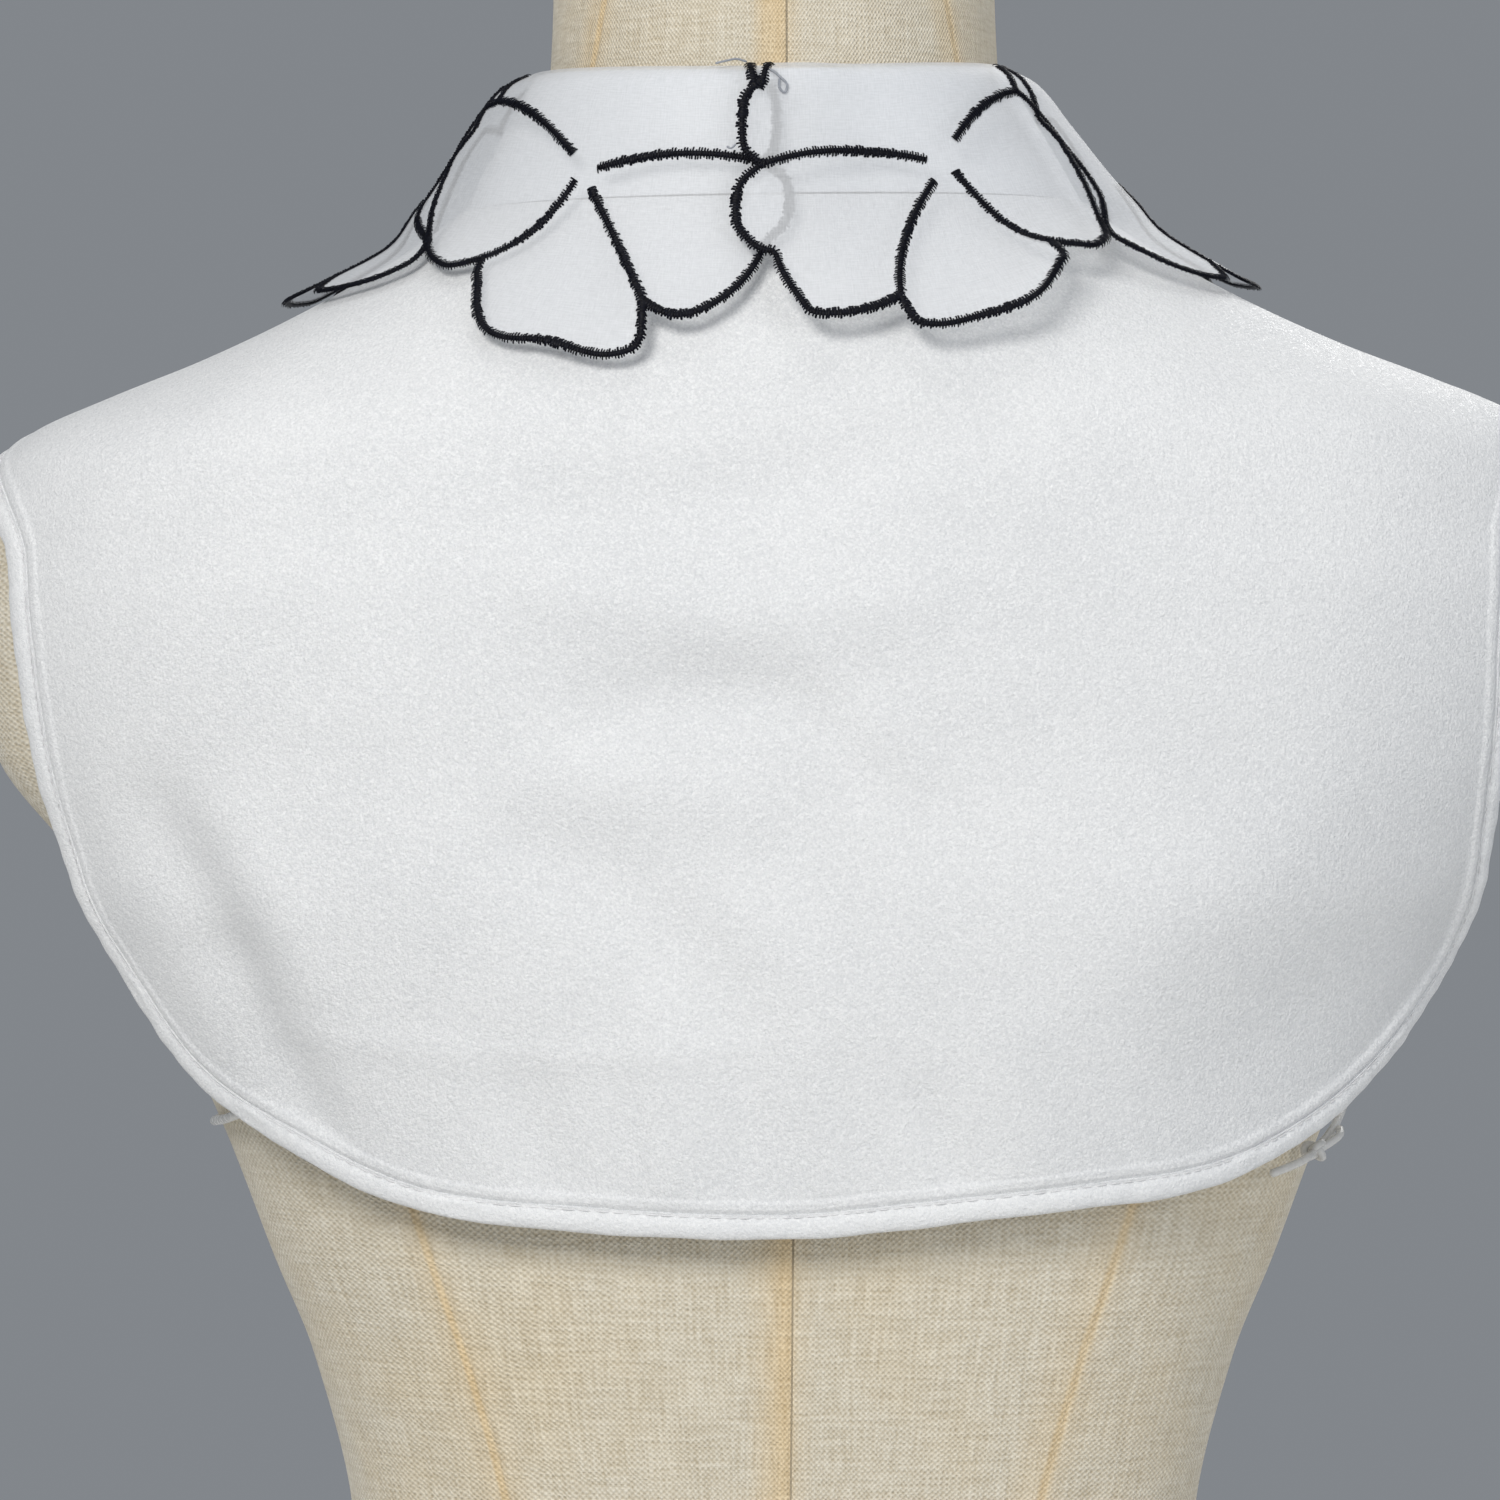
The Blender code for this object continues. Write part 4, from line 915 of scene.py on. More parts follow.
def form_ring(drop):
    """Points, places in the weave and seam tones round the form at one drop."""
    shares = np.linspace(0.0, 1.0, PANEL_PARTS + 1)[1:-1]
    away, dip, tone_after, tone_before = np.array(SEAM_SIDES).T
    angles, dips, tones = [], [], []
    seams = panel_angles(drop)
    for k, (start, end) in enumerate(zip(seams, seams[1:])):
        radius = float(form_radius(np.radians(0.5 * (start + end)), drop))
        steps = np.degrees(away / radius)
        inner = start + steps[-1] + (end - start - 2 * steps[-1]) * shares
        tape = TAPE_TONES[0] if k == 0 else TAPE_TONES[1]
        angles += [start + steps, inner, end - steps[:0:-1]]
        dips += [dip, np.zeros_like(shares), dip[:0:-1]]
        fade = 1 - smoothstep(np.radians(inner - start) * radius, *TAPE_FADE)
        tones += [tone_after[:-1], [tape], tape * fade, tone_before[:0:-1]]
    angles = np.radians(np.concatenate(angles))
    ring = place(angles, form_radius(angles, drop) + np.concatenate(dips), drop + 0 * angles)
    return ring, np.stack((angles * 95.0, drop + 0 * angles), axis=-1), np.concatenate(tones)


def build_form(linen):
    """The linen cover with its sewn seams, closed over the neck and under the base."""
    drops = np.unique(np.concatenate((np.linspace(-45.0, 130.0, 60), np.linspace(130.0, 560.0, 130))))
    rings, weaves, tones = (list(column) for column in zip(*(form_ring(drop) for drop in drops)))
    top = rings[0]
    middle = top.mean(axis=0)
    for share, rise in NECK_TOP:
        ring = middle + (top - middle) * share + np.array((0.0, 0.0, rise))
        rings.insert(0, ring)
        weaves.insert(0, ring[:, :2])
        tones.insert(0, np.zeros(len(ring)))
    faces = tube_faces(len(rings), len(top))
    mesh = mesh_from("form_linen", np.concatenate(rings), faces, np.concatenate(weaves))
    mesh.attributes.new("seam_tone", "FLOAT", "POINT").data.foreach_set("value", np.concatenate(tones))
    return new_object("form_linen", face_out(mesh), linen, "linen", ("form_body",), 60.0)


# Bib


def panel_grid(rows, first_angle, last_angle, columns, body_rows):
    """Angles, drops and insets on a panel, from the neck seam to under the strip."""
    share = np.linspace(0.0, 1.0, columns)
    neck = np.radians(first_angle + (last_angle - first_angle) * share)
    top = neck_drop(neck) + SEAM
    angle_in, drop_in = edge_point(rows, share, EDGE_BAND)
    grid = []
    for t in np.linspace(0.0, 1.0, body_rows):
        inset = BODY_INSET if t < 1.0 else EDGE_BAND
        grid.append((neck + (angle_in - neck) * t, top + (drop_in - top) * t, inset + 0 * share))
    insets = list(np.linspace(EDGE_BAND, BINDING_WIDTH + SEAM, 15)[1:])
    for inset in insets + [BINDING_WIDTH - 0.2, BINDING_WIDTH - 0.7]:
        grid.append((*edge_point(rows, share, inset), inset + 0 * share))
    return [np.stack(part, axis=1) for part in zip(*grid)]


def wrinkle(angle, drop):
    """Small unevenness along the bound edge."""
    u = angle * 110.0
    return 0.10 * np.sin(u * 0.31 + drop * 0.12) + 0.07 * np.sin(u * 0.83 - drop * 0.41 + 1.3)


def build_panel(node, rows, first_angle, last_angle, flip, columns, body_rows, crepe):
    angle, drop, inset = panel_grid(rows, first_angle, last_angle, columns, body_rows)
    angle = angle * flip
    below_neck = drop - neck_drop(angle)
    to_edge = np.where(inset < BODY_INSET, smoothstep(inset, BINDING_WIDTH, EDGE_BAND), 1.0)
    height = fold_height(angle, drop) * (0.25 + 0.75 * to_edge) * np.clip(below_neck / NECK_CALM, 0.0, 1.0)
    low, high, rise = ALLOWANCE
    ridge = rise * smoothstep(inset, low - 0.3, low + 0.5) * (1 - smoothstep(inset, high - 0.6, high + 0.5))
    height = height + ridge + 0.8 * wrinkle(angle, drop) * (1 - smoothstep(inset, 8.0, 12.0))
    height = height - TUCK * (1 - smoothstep(inset, BINDING_WIDTH - 0.6, BINDING_WIDTH + 0.4))
    roll = NECK_ROLL[0] * np.exp(-((below_neck / NECK_ROLL[1]) ** 2))
    outer = cloth_point(angle, drop, BIB_OUTER + height + roll)
    inner = cloth_point(angle, drop, BIB_OUTER + height - BIB_THICK)
    mesh = shell_from_grid(f"{node}_cloth", outer, inner, np.stack((angle * 120.0, drop), axis=-1))
    return new_object(f"{node}_cloth", mesh, crepe, "crepe", (node,), 60.0)


def build_binding(node, rows, flip, count, made_of):
    """The folded strip, with a slight waver along it and puckers at the back."""
    share = np.linspace(0.0, 1.0, count)
    crush = np.zeros_like(share)
    if rows is BACK_EDGE:
        for at, size in PUCKERS:
            crush += size * np.exp(-(((share - at) / PUCKER_REACH) ** 2))
    rings = []
    for inset, out in BINDING_SECTION:
        shift = 0.22 * np.sin(share * 83.0) + 0.16 * np.sin(share * 211.0 + 1.0)
        edge_share = 1.0 - inset / BINDING_WIDTH
        angle, drop = edge_point(rows, share, inset + shift * edge_share * 0.8 + crush * 0.35 * edge_share)
        swell = wrinkle(angle, drop) + 0.09 * np.sin(share * 530.0) * (out > 2.5)
        lift = (swell + crush * 0.5 * math.cos(inset * 1.3)) * (out > 2.0)
        rings.append(cloth_point(angle * flip, drop, out + lift * (0.35 if inset > 5.5 else 1.0)))
    points = np.stack(rings, axis=1).reshape(-1, 3)
    mesh = face_out(mesh_from(f"{node}_strip", points, tube_faces(count, len(rings))))
    return new_object(f"{node}_strip", mesh, made_of, "binding", (node,), 60.0)


def running_stitches(path_at, length):
    """Topstitching along a path: path_at(share array) gives points; each stitch is a short thread."""
    parts = []
    count = int(length / (STITCH_LENGTH + STITCH_GAP))
    rise = np.array(STITCH_RISE)[:, None] * STITCH_RADIUS
    for k in range(count):
        start = (k + 0.02 * CHANCE.uniform(-1, 1)) / count
        end = start + STITCH_LENGTH / (STITCH_LENGTH + STITCH_GAP) / count
        path = path_at(np.linspace(start, end, len(rise)))
        parts.append(thread_tube(path + unit(path * FLAT_AXES) * rise, STITCH_RADIUS, 5))
    return parts


def build_topstitching(thread):
    parts = []
    for rows, flip in ((BACK_EDGE, 1), (FRONT_EDGE, 1), (FRONT_EDGE, -1)):

        def path_at(t, rows=rows, flip=flip):
            angle, drop = edge_point(rows, np.clip(t, 0.0, 1.0), STITCH_INSET)
            return cloth_point(angle * flip, drop, STITCH_OUT)

        length = np.linalg.norm(np.diff(path_at(np.linspace(0.0, 1.0, 200)), axis=0), axis=1).sum()
        parts += running_stitches(path_at, length)
    return object_of("edge_topstitching", parts, thread, "binding")


# Collar


def fold_drop(angle):
    back, front = np.maximum(np.cos(angle), 0.0), np.maximum(-np.cos(angle), 0.0)
    return FOLD_LOW_BACK * back ** 2 + FOLD_LOW_FRONT * front ** 2


def leaf_profile(angle, below):
    """Radius and drop of the leaf at heights below its fold, kept clear of the bib."""
    drop = fold_drop(angle) + below
    radius = section_radius(angle, *collar_section(below))
    radius = radius + COLLAR_SHIFT[0] * np.sin(angle) * (1 - smoothstep(below, *COLLAR_SHIFT[1:]))
    lifted = cloth_point(angle, drop, 1.0) - cloth_point(angle, drop, 0.0)
    facing = np.maximum(lifted[..., 0] * np.sin(angle) + lifted[..., 1] * np.cos(angle), 0.3)
    from_front = np.degrees(np.arccos(-np.cos(angle)))
    clear = COLLAR_CLEAR + PLACKET_CLEAR[0] * (1 - smoothstep(from_front, *PLACKET_CLEAR[1:]))
    lowest = cloth_radius(angle, drop) + clear / facing
    gap = radius - lowest
    eased = lowest + 0.5 * (gap + np.hypot(gap, COLLAR_SOFTNESS))
    return np.where(below > COLLAR_FALL, eased, radius), drop


class Leaf:
    """The turned-down leaf, addressed by angle and by distance along the cloth from the fold."""

    TURN = math.radians(3.0)
    FIRST = -66
    REACH = 108

    def __init__(self):
        belows = np.arange(0.0, COLLAR_DEPTH, 1.5)
        marks = np.arange(self.REACH + 1.0)
        radii, drops = [], []
        for k in range(self.FIRST, 1 - self.FIRST):
            radius, drop = leaf_profile(k * self.TURN, belows)
            lengths = np.concatenate(([0.0], np.cumsum(np.hypot(np.diff(radius), np.diff(drop)))))
            radii.append(np.interp(marks, lengths, radius))
            drops.append(np.interp(marks, lengths, drop))
        self.tables = (np.array(radii), np.array(drops))

    def profile(self, angle, down):
        at = angle / self.TURN - self.FIRST
        i = np.clip(at.astype(int), 0, len(self.tables[0]) - 2)
        at = at - i
        mark = np.clip(down, 0.0, self.REACH - 0.001)
        j = mark.astype(int)
        mark = mark - j
        found = []
        for table in self.tables:
            near = table[i, j] * (1 - mark) + table[i, j + 1] * mark
            far = table[i + 1, j] * (1 - mark) + table[i + 1, j + 1] * mark
            found.append(near * (1 - at) + far * at)
        inward, rise = collar_cap(np.minimum(down, 0.0))
        return found[0] - inward, found[1] - rise

    def middle(self, angle, down):
        return place(angle, *self.profile(angle, down))

    def facing(self, angle, down):
        """Unit normals of the leaf, on the side away from the form."""
        around = self.middle(angle + 0.02, down) - self.middle(angle - 0.02, down)
        fall = self.middle(angle, down + 0.6) - self.middle(angle, down - 0.6)
        normal = unit(np.cross(around, fall))
        inside = down < -2.0
        turn = np.where(inside, -1.0, 1.0)
        guide = np.stack((np.sin(angle) * turn, np.cos(angle) * turn, np.where(inside, -0.2, 0.6)), axis=-1)
        backward = (normal * guide).sum(axis=-1) < 0
        return np.where(backward[..., None], -normal, normal)

    def point(self, angle, down, out, side):
        """A place on the worn leaf, with its lifted petals, its lap at the centre back and its sway."""
        angle, down = np.asarray(angle, float), np.asarray(down, float)
        lift = PETAL_LIFT[0] * smoothstep(down, *PETAL_LIFT[1:]) * (0.6 + 0.4 * np.cos(3.1 * angle + 0.6))
        degrees = np.degrees(angle)
        for at, depth, reach, height in TIP_LIFTS:
            if at * side > 0:
                away = np.hypot((degrees - at) * 1.25, down - depth)
                lift = lift + height * np.exp(-((away / reach) ** 2)) * smoothstep(down, 34.0, 58.0)
        lap = 0.0
        if side < 0:
            lap = FOLD_LAP_RISE + (LAP_RISE - FOLD_LAP_RISE) * smoothstep(down, 0.0, 5.0)
            lap = lap * smoothstep(degrees, *LAP_ENDS)
        sway = 0.25 * np.sin(5.3 * angle + down * 0.07) * smoothstep(down, 6.0, 30.0)
        height = np.asarray(out + lift + lap + sway)
        return self.middle(angle, down) + self.facing(angle, down) * height[..., None]

    def worn(self, flat, side):
        """Places on the worn leaf of places in the flat."""
        return self.point(flat[:, 0] / FLAT_RADIUS, flat[:, 1], 0.0, side)

    def unroll(self, middle, places, away):
        """Places in the flat, from places across and below a flower's middle."""
        across, down = np.array(places, float).T
        start = math.radians(middle[0])
        angle = np.full_like(across, start)
        depth = middle[1] + down
        for _ in range(4):
            radius = self.profile(angle, depth)[0] + self.profile(0.5 * (angle + start), depth)[0]
            angle = start + away * across / (0.5 * radius)
        return list(zip(angle * FLAT_RADIUS, depth))


def smooth_run(points, step):
    """A smooth line through points in the flat, with corners only at its ends."""
    points = np.array(points, float)
    count = max(4, round(np.hypot(*np.diff(points, axis=0).T).sum() / step))
    return list(zip(*along(points, np.linspace(0.0, 1.0, count + 1))))


def polar(degrees, radius):
    """A place across and below a flower's middle."""
    return radius * math.sin(math.radians(degrees)), radius * math.cos(math.radians(degrees))


def lobed_line(joints, lobes):
    """Outline through the joints, smooth along each lobe, round the flower's middle."""
    line = []
    for (start, near, *_), (end, far, *_), (swell, full, skew, wave) in zip(joints, joints[1:], lobes):
        span = end - start
        count = max(4, round(abs(math.radians(span)) * (near + swell) / EDGE_STEP * 1.25))
        lobe = []
        for t in (k / count for k in range(count + 1)):
            dome = swell * (1 - abs(2 * t ** skew - 1) ** full) ** (1 / full)
            ripple = wave * math.sin(4 * math.pi * t)
            lobe.append(polar(start + span * t, near + (far - near) * t + dome + ripple))
        line += smooth_run(lobe, LINE_STEP)[:-1]
    return line + [polar(*joints[-1][:2])]


def spoke(angle, radius, start_radius, start_angle, bow):
    """A bowed line from near the flower's middle out to a joint."""
    first, last = Vector(polar(start_angle, start_radius)), Vector(polar(angle, radius))
    aside = (last - first).orthogonal().normalized()
    count = max(3, round((last - first).length / SPOKE_STEP))
    shares = [k / count for k in range(count + 1)]
    return [tuple(first.lerp(last, t) + aside * bow * 4 * t * (1 - t)) for t in shares]


class LeafPattern:
    """Flat shapes of one leaf: the cloth as polygons, the stitched lines as open runs of points."""

    def __init__(self, leaf, side):
        self.leaf, self.side = leaf, side
        self.cloth, self.lines, self.edges = [], [], []
        back, joints, lobes, back_corner, shoulder_joints = BACK_FLOWERS[side]
        front = (side * FRONT_FLOWER[0], FRONT_FLOWER[1])
        front_corner = (side * FRONT_CORNER[0], *FRONT_CORNER[1:])
        back_end = self.end_flower(back, side, joints, lobes)
        self.end_flower(front, -side, FRONT_JOINTS, FRONT_LOBES)
        self.shoulder_flower(back_end, shoulder_joints)
        self.strip(back_corner[0], front_corner[0])
        self.corner(back, joints[0], back_corner, side)
        self.corner(front, FRONT_JOINTS[0], front_corner, -side)

    def flower(self, middle, away, joints, lobes, closing):
        border = lobed_line(joints, lobes)
        self.lines.append(self.leaf.unroll(middle, border, away))
        self.edges.append(self.lines[-1])
        for joint in joints:
            if joint[2]:
                self.lines.append(self.leaf.unroll(middle, spoke(*joint), away))
        self.cloth.append(self.leaf.unroll(middle, border + closing, away))

    def end_flower(self, middle, away, joints, lobes):
        """A flower at a leaf's end, and the line from its last joint up to the fold."""
        self.flower(middle, away, joints, lobes, [(20.0, -20.0), (-20.0, -20.0)])
        (u, v), = self.leaf.unroll(middle, [polar(*joints[-1][:2])], away)
        across, bow = RISER
        run = []
        for t in np.linspace(0.0, 1.0, RISER_PARTS + 1):
            run.append((u + away * (across * t - bow * math.sin(math.pi * t)), v + (RISER_TOP - v) * t))
        self.lines.append(run)
        return u, v

    def shoulder_flower(self, back_end, joints):
        middle = (self.side * SHOULDER_FLOWER[0], SHOULDER_FLOWER[1])
        border = len(self.lines)
        self.flower(middle, self.side, joints, SHOULDER_LOBES, [(34.0, -14.0), (-34.0, -14.0)])
        for petal, end in ((UPPER_PETAL, []), (LOWER_PETAL, self.lines[border][:1])):
            edge = [(back_end[0] + self.side * across, back_end[1] + down) for across, down in petal]
            self.lines.append(smooth_run(edge + end, LINE_STEP))

    def strip(self, start, end):
        """The cloth along the fold and over the stand."""
        count = round(abs(math.radians(end - start)) * FLAT_RADIUS / STRIP_STEP)
        us = [math.radians(start + (end - start) * k / count) * FLAT_RADIUS for k in range(count + 1)]
        top = [(u, COLLAR_CAP[0][0]) for u in us]
        self.cloth.append(top + [(u, STRIP_DEPTH) for u in reversed(us[1:-1])])
        self.edges.append(top)
        self.fold_levels = [(u, v) for u in us for v in FOLD_LEVELS]

    def corner(self, middle, joint, corner, away):
        """The rounded corner between the spoke at the leaf's end and the fold."""
        line, swell, start = corner
        low, = self.leaf.unroll(middle, [polar(*joint[:2])], away)
        top = (math.radians(line) * FLAT_RADIUS, start)
        points = []
        for t in (k / CORNER_PARTS for k in range(CORNER_PARTS + 1)):
            bump = -away * swell * (1 - abs(2 * t - 1) ** CORNER_FULLNESS) ** (1 / CORNER_FULLNESS)
            points.append((low[0] + (top[0] - low[0]) * t + bump, low[1] + (top[1] - low[1]) * t))
        points = smooth_run(points, LINE_STEP)
        at_front = abs(line) > 90.0
        self.lines.append(points + [(top[0], v) for v in FRONT_CORNER_END if at_front])
        cap = (top[0], COLLAR_CAP[0][0])
        levels = [level for level in reversed(FOLD_LEVELS) if level < start - 0.3]
        self.edges.append(points + [(top[0], level) for level in levels] + [cap])
        inner = low[0] + away * 14.0
        self.cloth.append(points + [cap, (inner, cap[1]), (inner, low[1] + 4.0)])


def far_from(points, others, distance):
    points, others = np.array(points), np.array(others)
    kept = []
    for block in np.array_split(points, 20):
        gaps = np.hypot(*(block[:, None] - others[None]).transpose(2, 0, 1)).min(axis=1)
        kept += [tuple(point) for point in block[gaps > distance]]
    return kept


def holds(polygon, spots):
    """Which spots lie in a polygon."""
    corners = np.array(polygon)
    crossings = np.zeros(len(spots), int)
    for (x1, y1), (x2, y2) in zip(corners, np.roll(corners, -1, axis=0)):
        if y1 == y2:
            continue
        spans = (spots[:, 1] > min(y1, y2)) & (spots[:, 1] <= max(y1, y2))
        at = x1 + (spots[:, 1] - y1) * (x2 - x1) / (y2 - y1)
        crossings += spans & (spots[:, 0] < at)
    return crossings % 2 == 1


def triangles_inside(polygons, lines, extra):
    """Triangles that follow the lines, use the extra points and lie in any of the polygons."""
    points, edges = [], []
    for line in lines:
        edges += [(len(points) + i, len(points) + i + 1) for i in range(len(line) - 1)]
        points.extend(line)
    points.extend(extra)
    found = delaunay_2d_cdt([Vector(p) for p in points], edges, [], 0, 0.02, False)
    corners = np.array([tuple(p) for p in found[0]])
    triangles = np.array([tuple(t) for t in found[2]])
    middles = corners[triangles].mean(axis=1)
    inside = np.any([holds(polygon, middles) for polygon in polygons], axis=0)
    used, renumbered = np.unique(triangles[inside], return_inverse=True)
    return corners[used], renumbered.reshape(-1, 3)


def build_leaf(name, side, leaf, organza):
    pattern = LeafPattern(leaf, side)
    outline = [point for line in pattern.edges for point in line]
    us, vs = np.array(outline).T
    across, down = np.arange(us.min(), us.max(), GRID_STEP), np.arange(GRID_START, vs.max(), GRID_STEP)
    grid = np.stack([spots.ravel() for spots in np.meshgrid(across, down)], axis=-1)
    extra = far_from(grid, outline, 0.5 * GRID_STEP) + far_from(pattern.fold_levels, outline, 0.3)
    flat, triangles = triangles_inside(pattern.cloth, pattern.edges, extra)
    mesh = face_out(mesh_from(f"{name}_cloth", leaf.worn(flat, side), triangles.tolist(), flat))
    return pattern, new_object(f"{name}_cloth", mesh, organza, "organza", (name,), 0.0)


def resampled(leaf, side, line, step):
    """Evenly spaced places along a flat line, with the line's and the cloth's directions there."""
    line = np.array(line)
    steps = np.linalg.norm(np.diff(leaf.worn(line, side), axis=0), axis=1)
    lengths = np.concatenate(([0.0], np.cumsum(steps)))
    marks = np.linspace(0.0, lengths[-1], max(3, int(lengths[-1] / step)) + 1)
    flat = np.stack([np.interp(marks, lengths, column) for column in line.T], axis=-1)
    worn = leaf.worn(flat, side)
    ahead = unit(np.gradient(worn, axis=0))
    across = unit(np.cross(leaf.facing(flat[:, 0] / FLAT_RADIUS, flat[:, 1]), ahead))
    return worn, ahead, across, unit(np.cross(ahead, across))


def satin_band(worn, across, normal, half):
    """Padding under the stitches: a flat-bottomed dome along the line."""
    rings = np.stack([worn + across * (a * half) + normal * h for a, h in PAD_SECTION], axis=1)
    return rings.reshape(-1, 3), tube_faces(len(worn), len(PAD_SECTION))


def satin_stitches(worn, ahead, across, normal):
    """Stitches side by side across the line, each a flat bowed thread, a little uneven."""
    parts = []
    phase = CHANCE.uniform(0.0, 2 * math.pi)
    count = len(SATIN_SECTION)
    corners = [3 * i + j for i in range(count - 1) for j in (0, 1)]
    faces = [(first, first + 1, first + 4, first + 3) for first in corners]
    for k in range(len(worn)):
        half_left = 0.5 * SATIN_WIDTH * (1.0 + CHANCE.uniform(*SATIN_ENDS))
        half_right = 0.5 * SATIN_WIDTH * (1.0 + CHANCE.uniform(*SATIN_ENDS))
        slant = 0.12 + CHANCE.uniform(-0.08, 0.08)
        crown = SATIN_CROWN * (1.0 + CHANCE.uniform(-0.15, 0.15))
        spread = 0.5 + 0.5 * math.sin(0.11 * k + 1.7 * math.sin(0.043 * k) + phase)
        half_thread = (0.34 - 0.14 * spread) * (1.0 + CHANCE.uniform(-0.15, 0.12))
        shift = CHANCE.uniform(-0.07, 0.07)
        points = []
        for s, h, taper in SATIN_SECTION:
            reach = half_left if s < 0 else half_right
            base = worn[k] + across[k] * (s * reach) + ahead[k] * (s * slant + shift)
            for aside, rise in ((-1, -0.11), (0, 0.03), (1, -0.11)):
                offset = aside * half_thread * taper
                points.append(base + ahead[k] * offset + normal[k] * (h * crown + rise))
        parts.append((points, faces))
    return parts


def build_satin(side_name, leaf, pattern, side, thread, extra_lines):
    pads, stitches = [], []
    for line in pattern.lines + extra_lines:
        worn, ahead, across, normal = resampled(leaf, side, line, SATIN_STEP)
        stitches += satin_stitches(worn, ahead, across, normal)
        pads.append(satin_band(worn[::2], across[::2], normal[::2], PAD_SHARE * SATIN_WIDTH))
    node = f"embroidery_{side_name}"
    return object_of(f"satin_{side_name}", pads + stitches, thread, "stitching", (node,), 0.0)


def build_band(organza, leaf):
    """The stand: upright from the neck seam to under the fold, bowed out a little."""
    columns, rows = BAND_GRID
    angle = np.linspace(-1.0, 1.0, columns)[:, None] * (math.pi - BAND_GAP) * np.ones((1, rows))
    row = np.ones((columns, 1)) * np.linspace(0.0, 1.0, rows)
    low = cloth_point(angle, neck_drop(angle) - 2 * SEAM, BAND_LOW_OUT)
    radius, drop = leaf.profile(angle, 0 * angle)
    high = place(angle, radius - BAND_IN, drop + SEAM)
    middle = low + (high - low) * row[..., None]
    around = np.stack((np.cos(angle), -np.sin(angle), 0 * angle), axis=-1)
    normal = unit(np.cross(around, high - low))
    inward = (normal * middle)[..., :2].sum(axis=-1) < 0
    normal = np.where(inward[..., None], -normal, normal)
    bow = BAND_BOW * np.sin(math.pi * row)[..., None]
    outer, inner = middle + normal * (bow + BAND_HALF), middle + normal * (bow - BAND_HALF)
    flat = np.stack((angle * 60.0, drop + row * 30.0), axis=-1)
    mesh = shell_from_grid("neck_band_cloth", outer, inner, flat)
    return new_object("neck_band_cloth", mesh, organza, "organza", ("neck_band",), 60.0)


# Front closure


def front_point(across, drop, out):
    """A place beside the centre front."""
    return cloth_point(math.pi + across / cloth_radius(math.pi, drop), drop, out)


def build_placket(crepe):
    columns, rows = PLACKET_GRID
    across = PLACKET_WIDTH * (np.linspace(0.0, 1.0, columns)[:, None] - 0.5) * np.ones((1, rows))
    top, bottom = PLACKET_ENDS
    drop = np.ones((columns, 1)) * (top + (bottom - top) * np.linspace(0.0, 1.0, rows))
    from_edge = np.minimum(PLACKET_WIDTH / 2 - np.abs(across), np.minimum(drop - top, bottom - drop))
    from_stitch = from_edge - PLACKET_HEM
    height = -0.45 * np.exp(-((from_edge / 0.5) ** 2)) - 0.28 * np.exp(-((from_stitch / 0.35) ** 2))
    height += 0.12 * np.sin(drop * 0.21 + across * 0.1)
    height += 0.06 * np.sin(drop * 0.9) * np.exp(-((from_stitch / 1.5) ** 2))
    outer, inner = front_point(across, drop, PLACKET_OUT + height), front_point(across, drop, PLACKET_INNER)
    mesh = shell_from_grid("placket_cloth", outer, inner, np.stack((across, drop), axis=-1))
    return new_object("placket_cloth", mesh, crepe, "crepe", ("placket",), 60.0)


def build_placket_stitching(thread):
    """Topstitching round the placket, and the whipped edges of its buttonholes."""
    parts = []
    edge = PLACKET_WIDTH / 2 - PLACKET_HEM
    top, bottom = PLACKET_ENDS[0] + PLACKET_HEM, PLACKET_ENDS[1] - PLACKET_HEM
    upright = [((x, top), (x, bottom)) for x in (-edge, edge)]
    level = [((-edge, drop), (edge, drop)) for drop in (top, bottom)]
    for start, end in upright + level:

        def path_at(t, start=start, end=end):
            across, drop = (a + (b - a) * t for a, b in zip(start, end))
            return front_point(across, drop, PLACKET_OUT - STITCH_SINK)

        parts += running_stitches(path_at, math.dist(start, end))
    for drop in BUTTON_DROPS:
        for side in (-1.0, 1.0):
            for rung in np.linspace(-SLIT_HALF, SLIT_HALF, SLIT_STITCHES):
                offsets = side * np.linspace(*SLIT_LIPS, len(SLIT_RISE))
                angle = math.pi + offsets / cloth_radius(math.pi, drop)
                parts.append(thread_tube(cloth_point(angle, drop + rung, SLIT_RISE), 0.14, 4))
    return object_of("placket_stitching", parts, thread, "crepe")


def circle(middle, radius, sides):
    turns = [2 * math.pi * i / sides for i in range(sides)]
    return [(middle[0] + radius * math.cos(turn), middle[1] + radius * math.sin(turn)) for turn in turns]


def band_faces(first, size):
    """Faces between a loop of points and the next one."""
    pairs = [(first + i, first + (i + 1) % size) for i in range(size)]
    return [(a, b, b + size, a + size) for a, b in pairs]


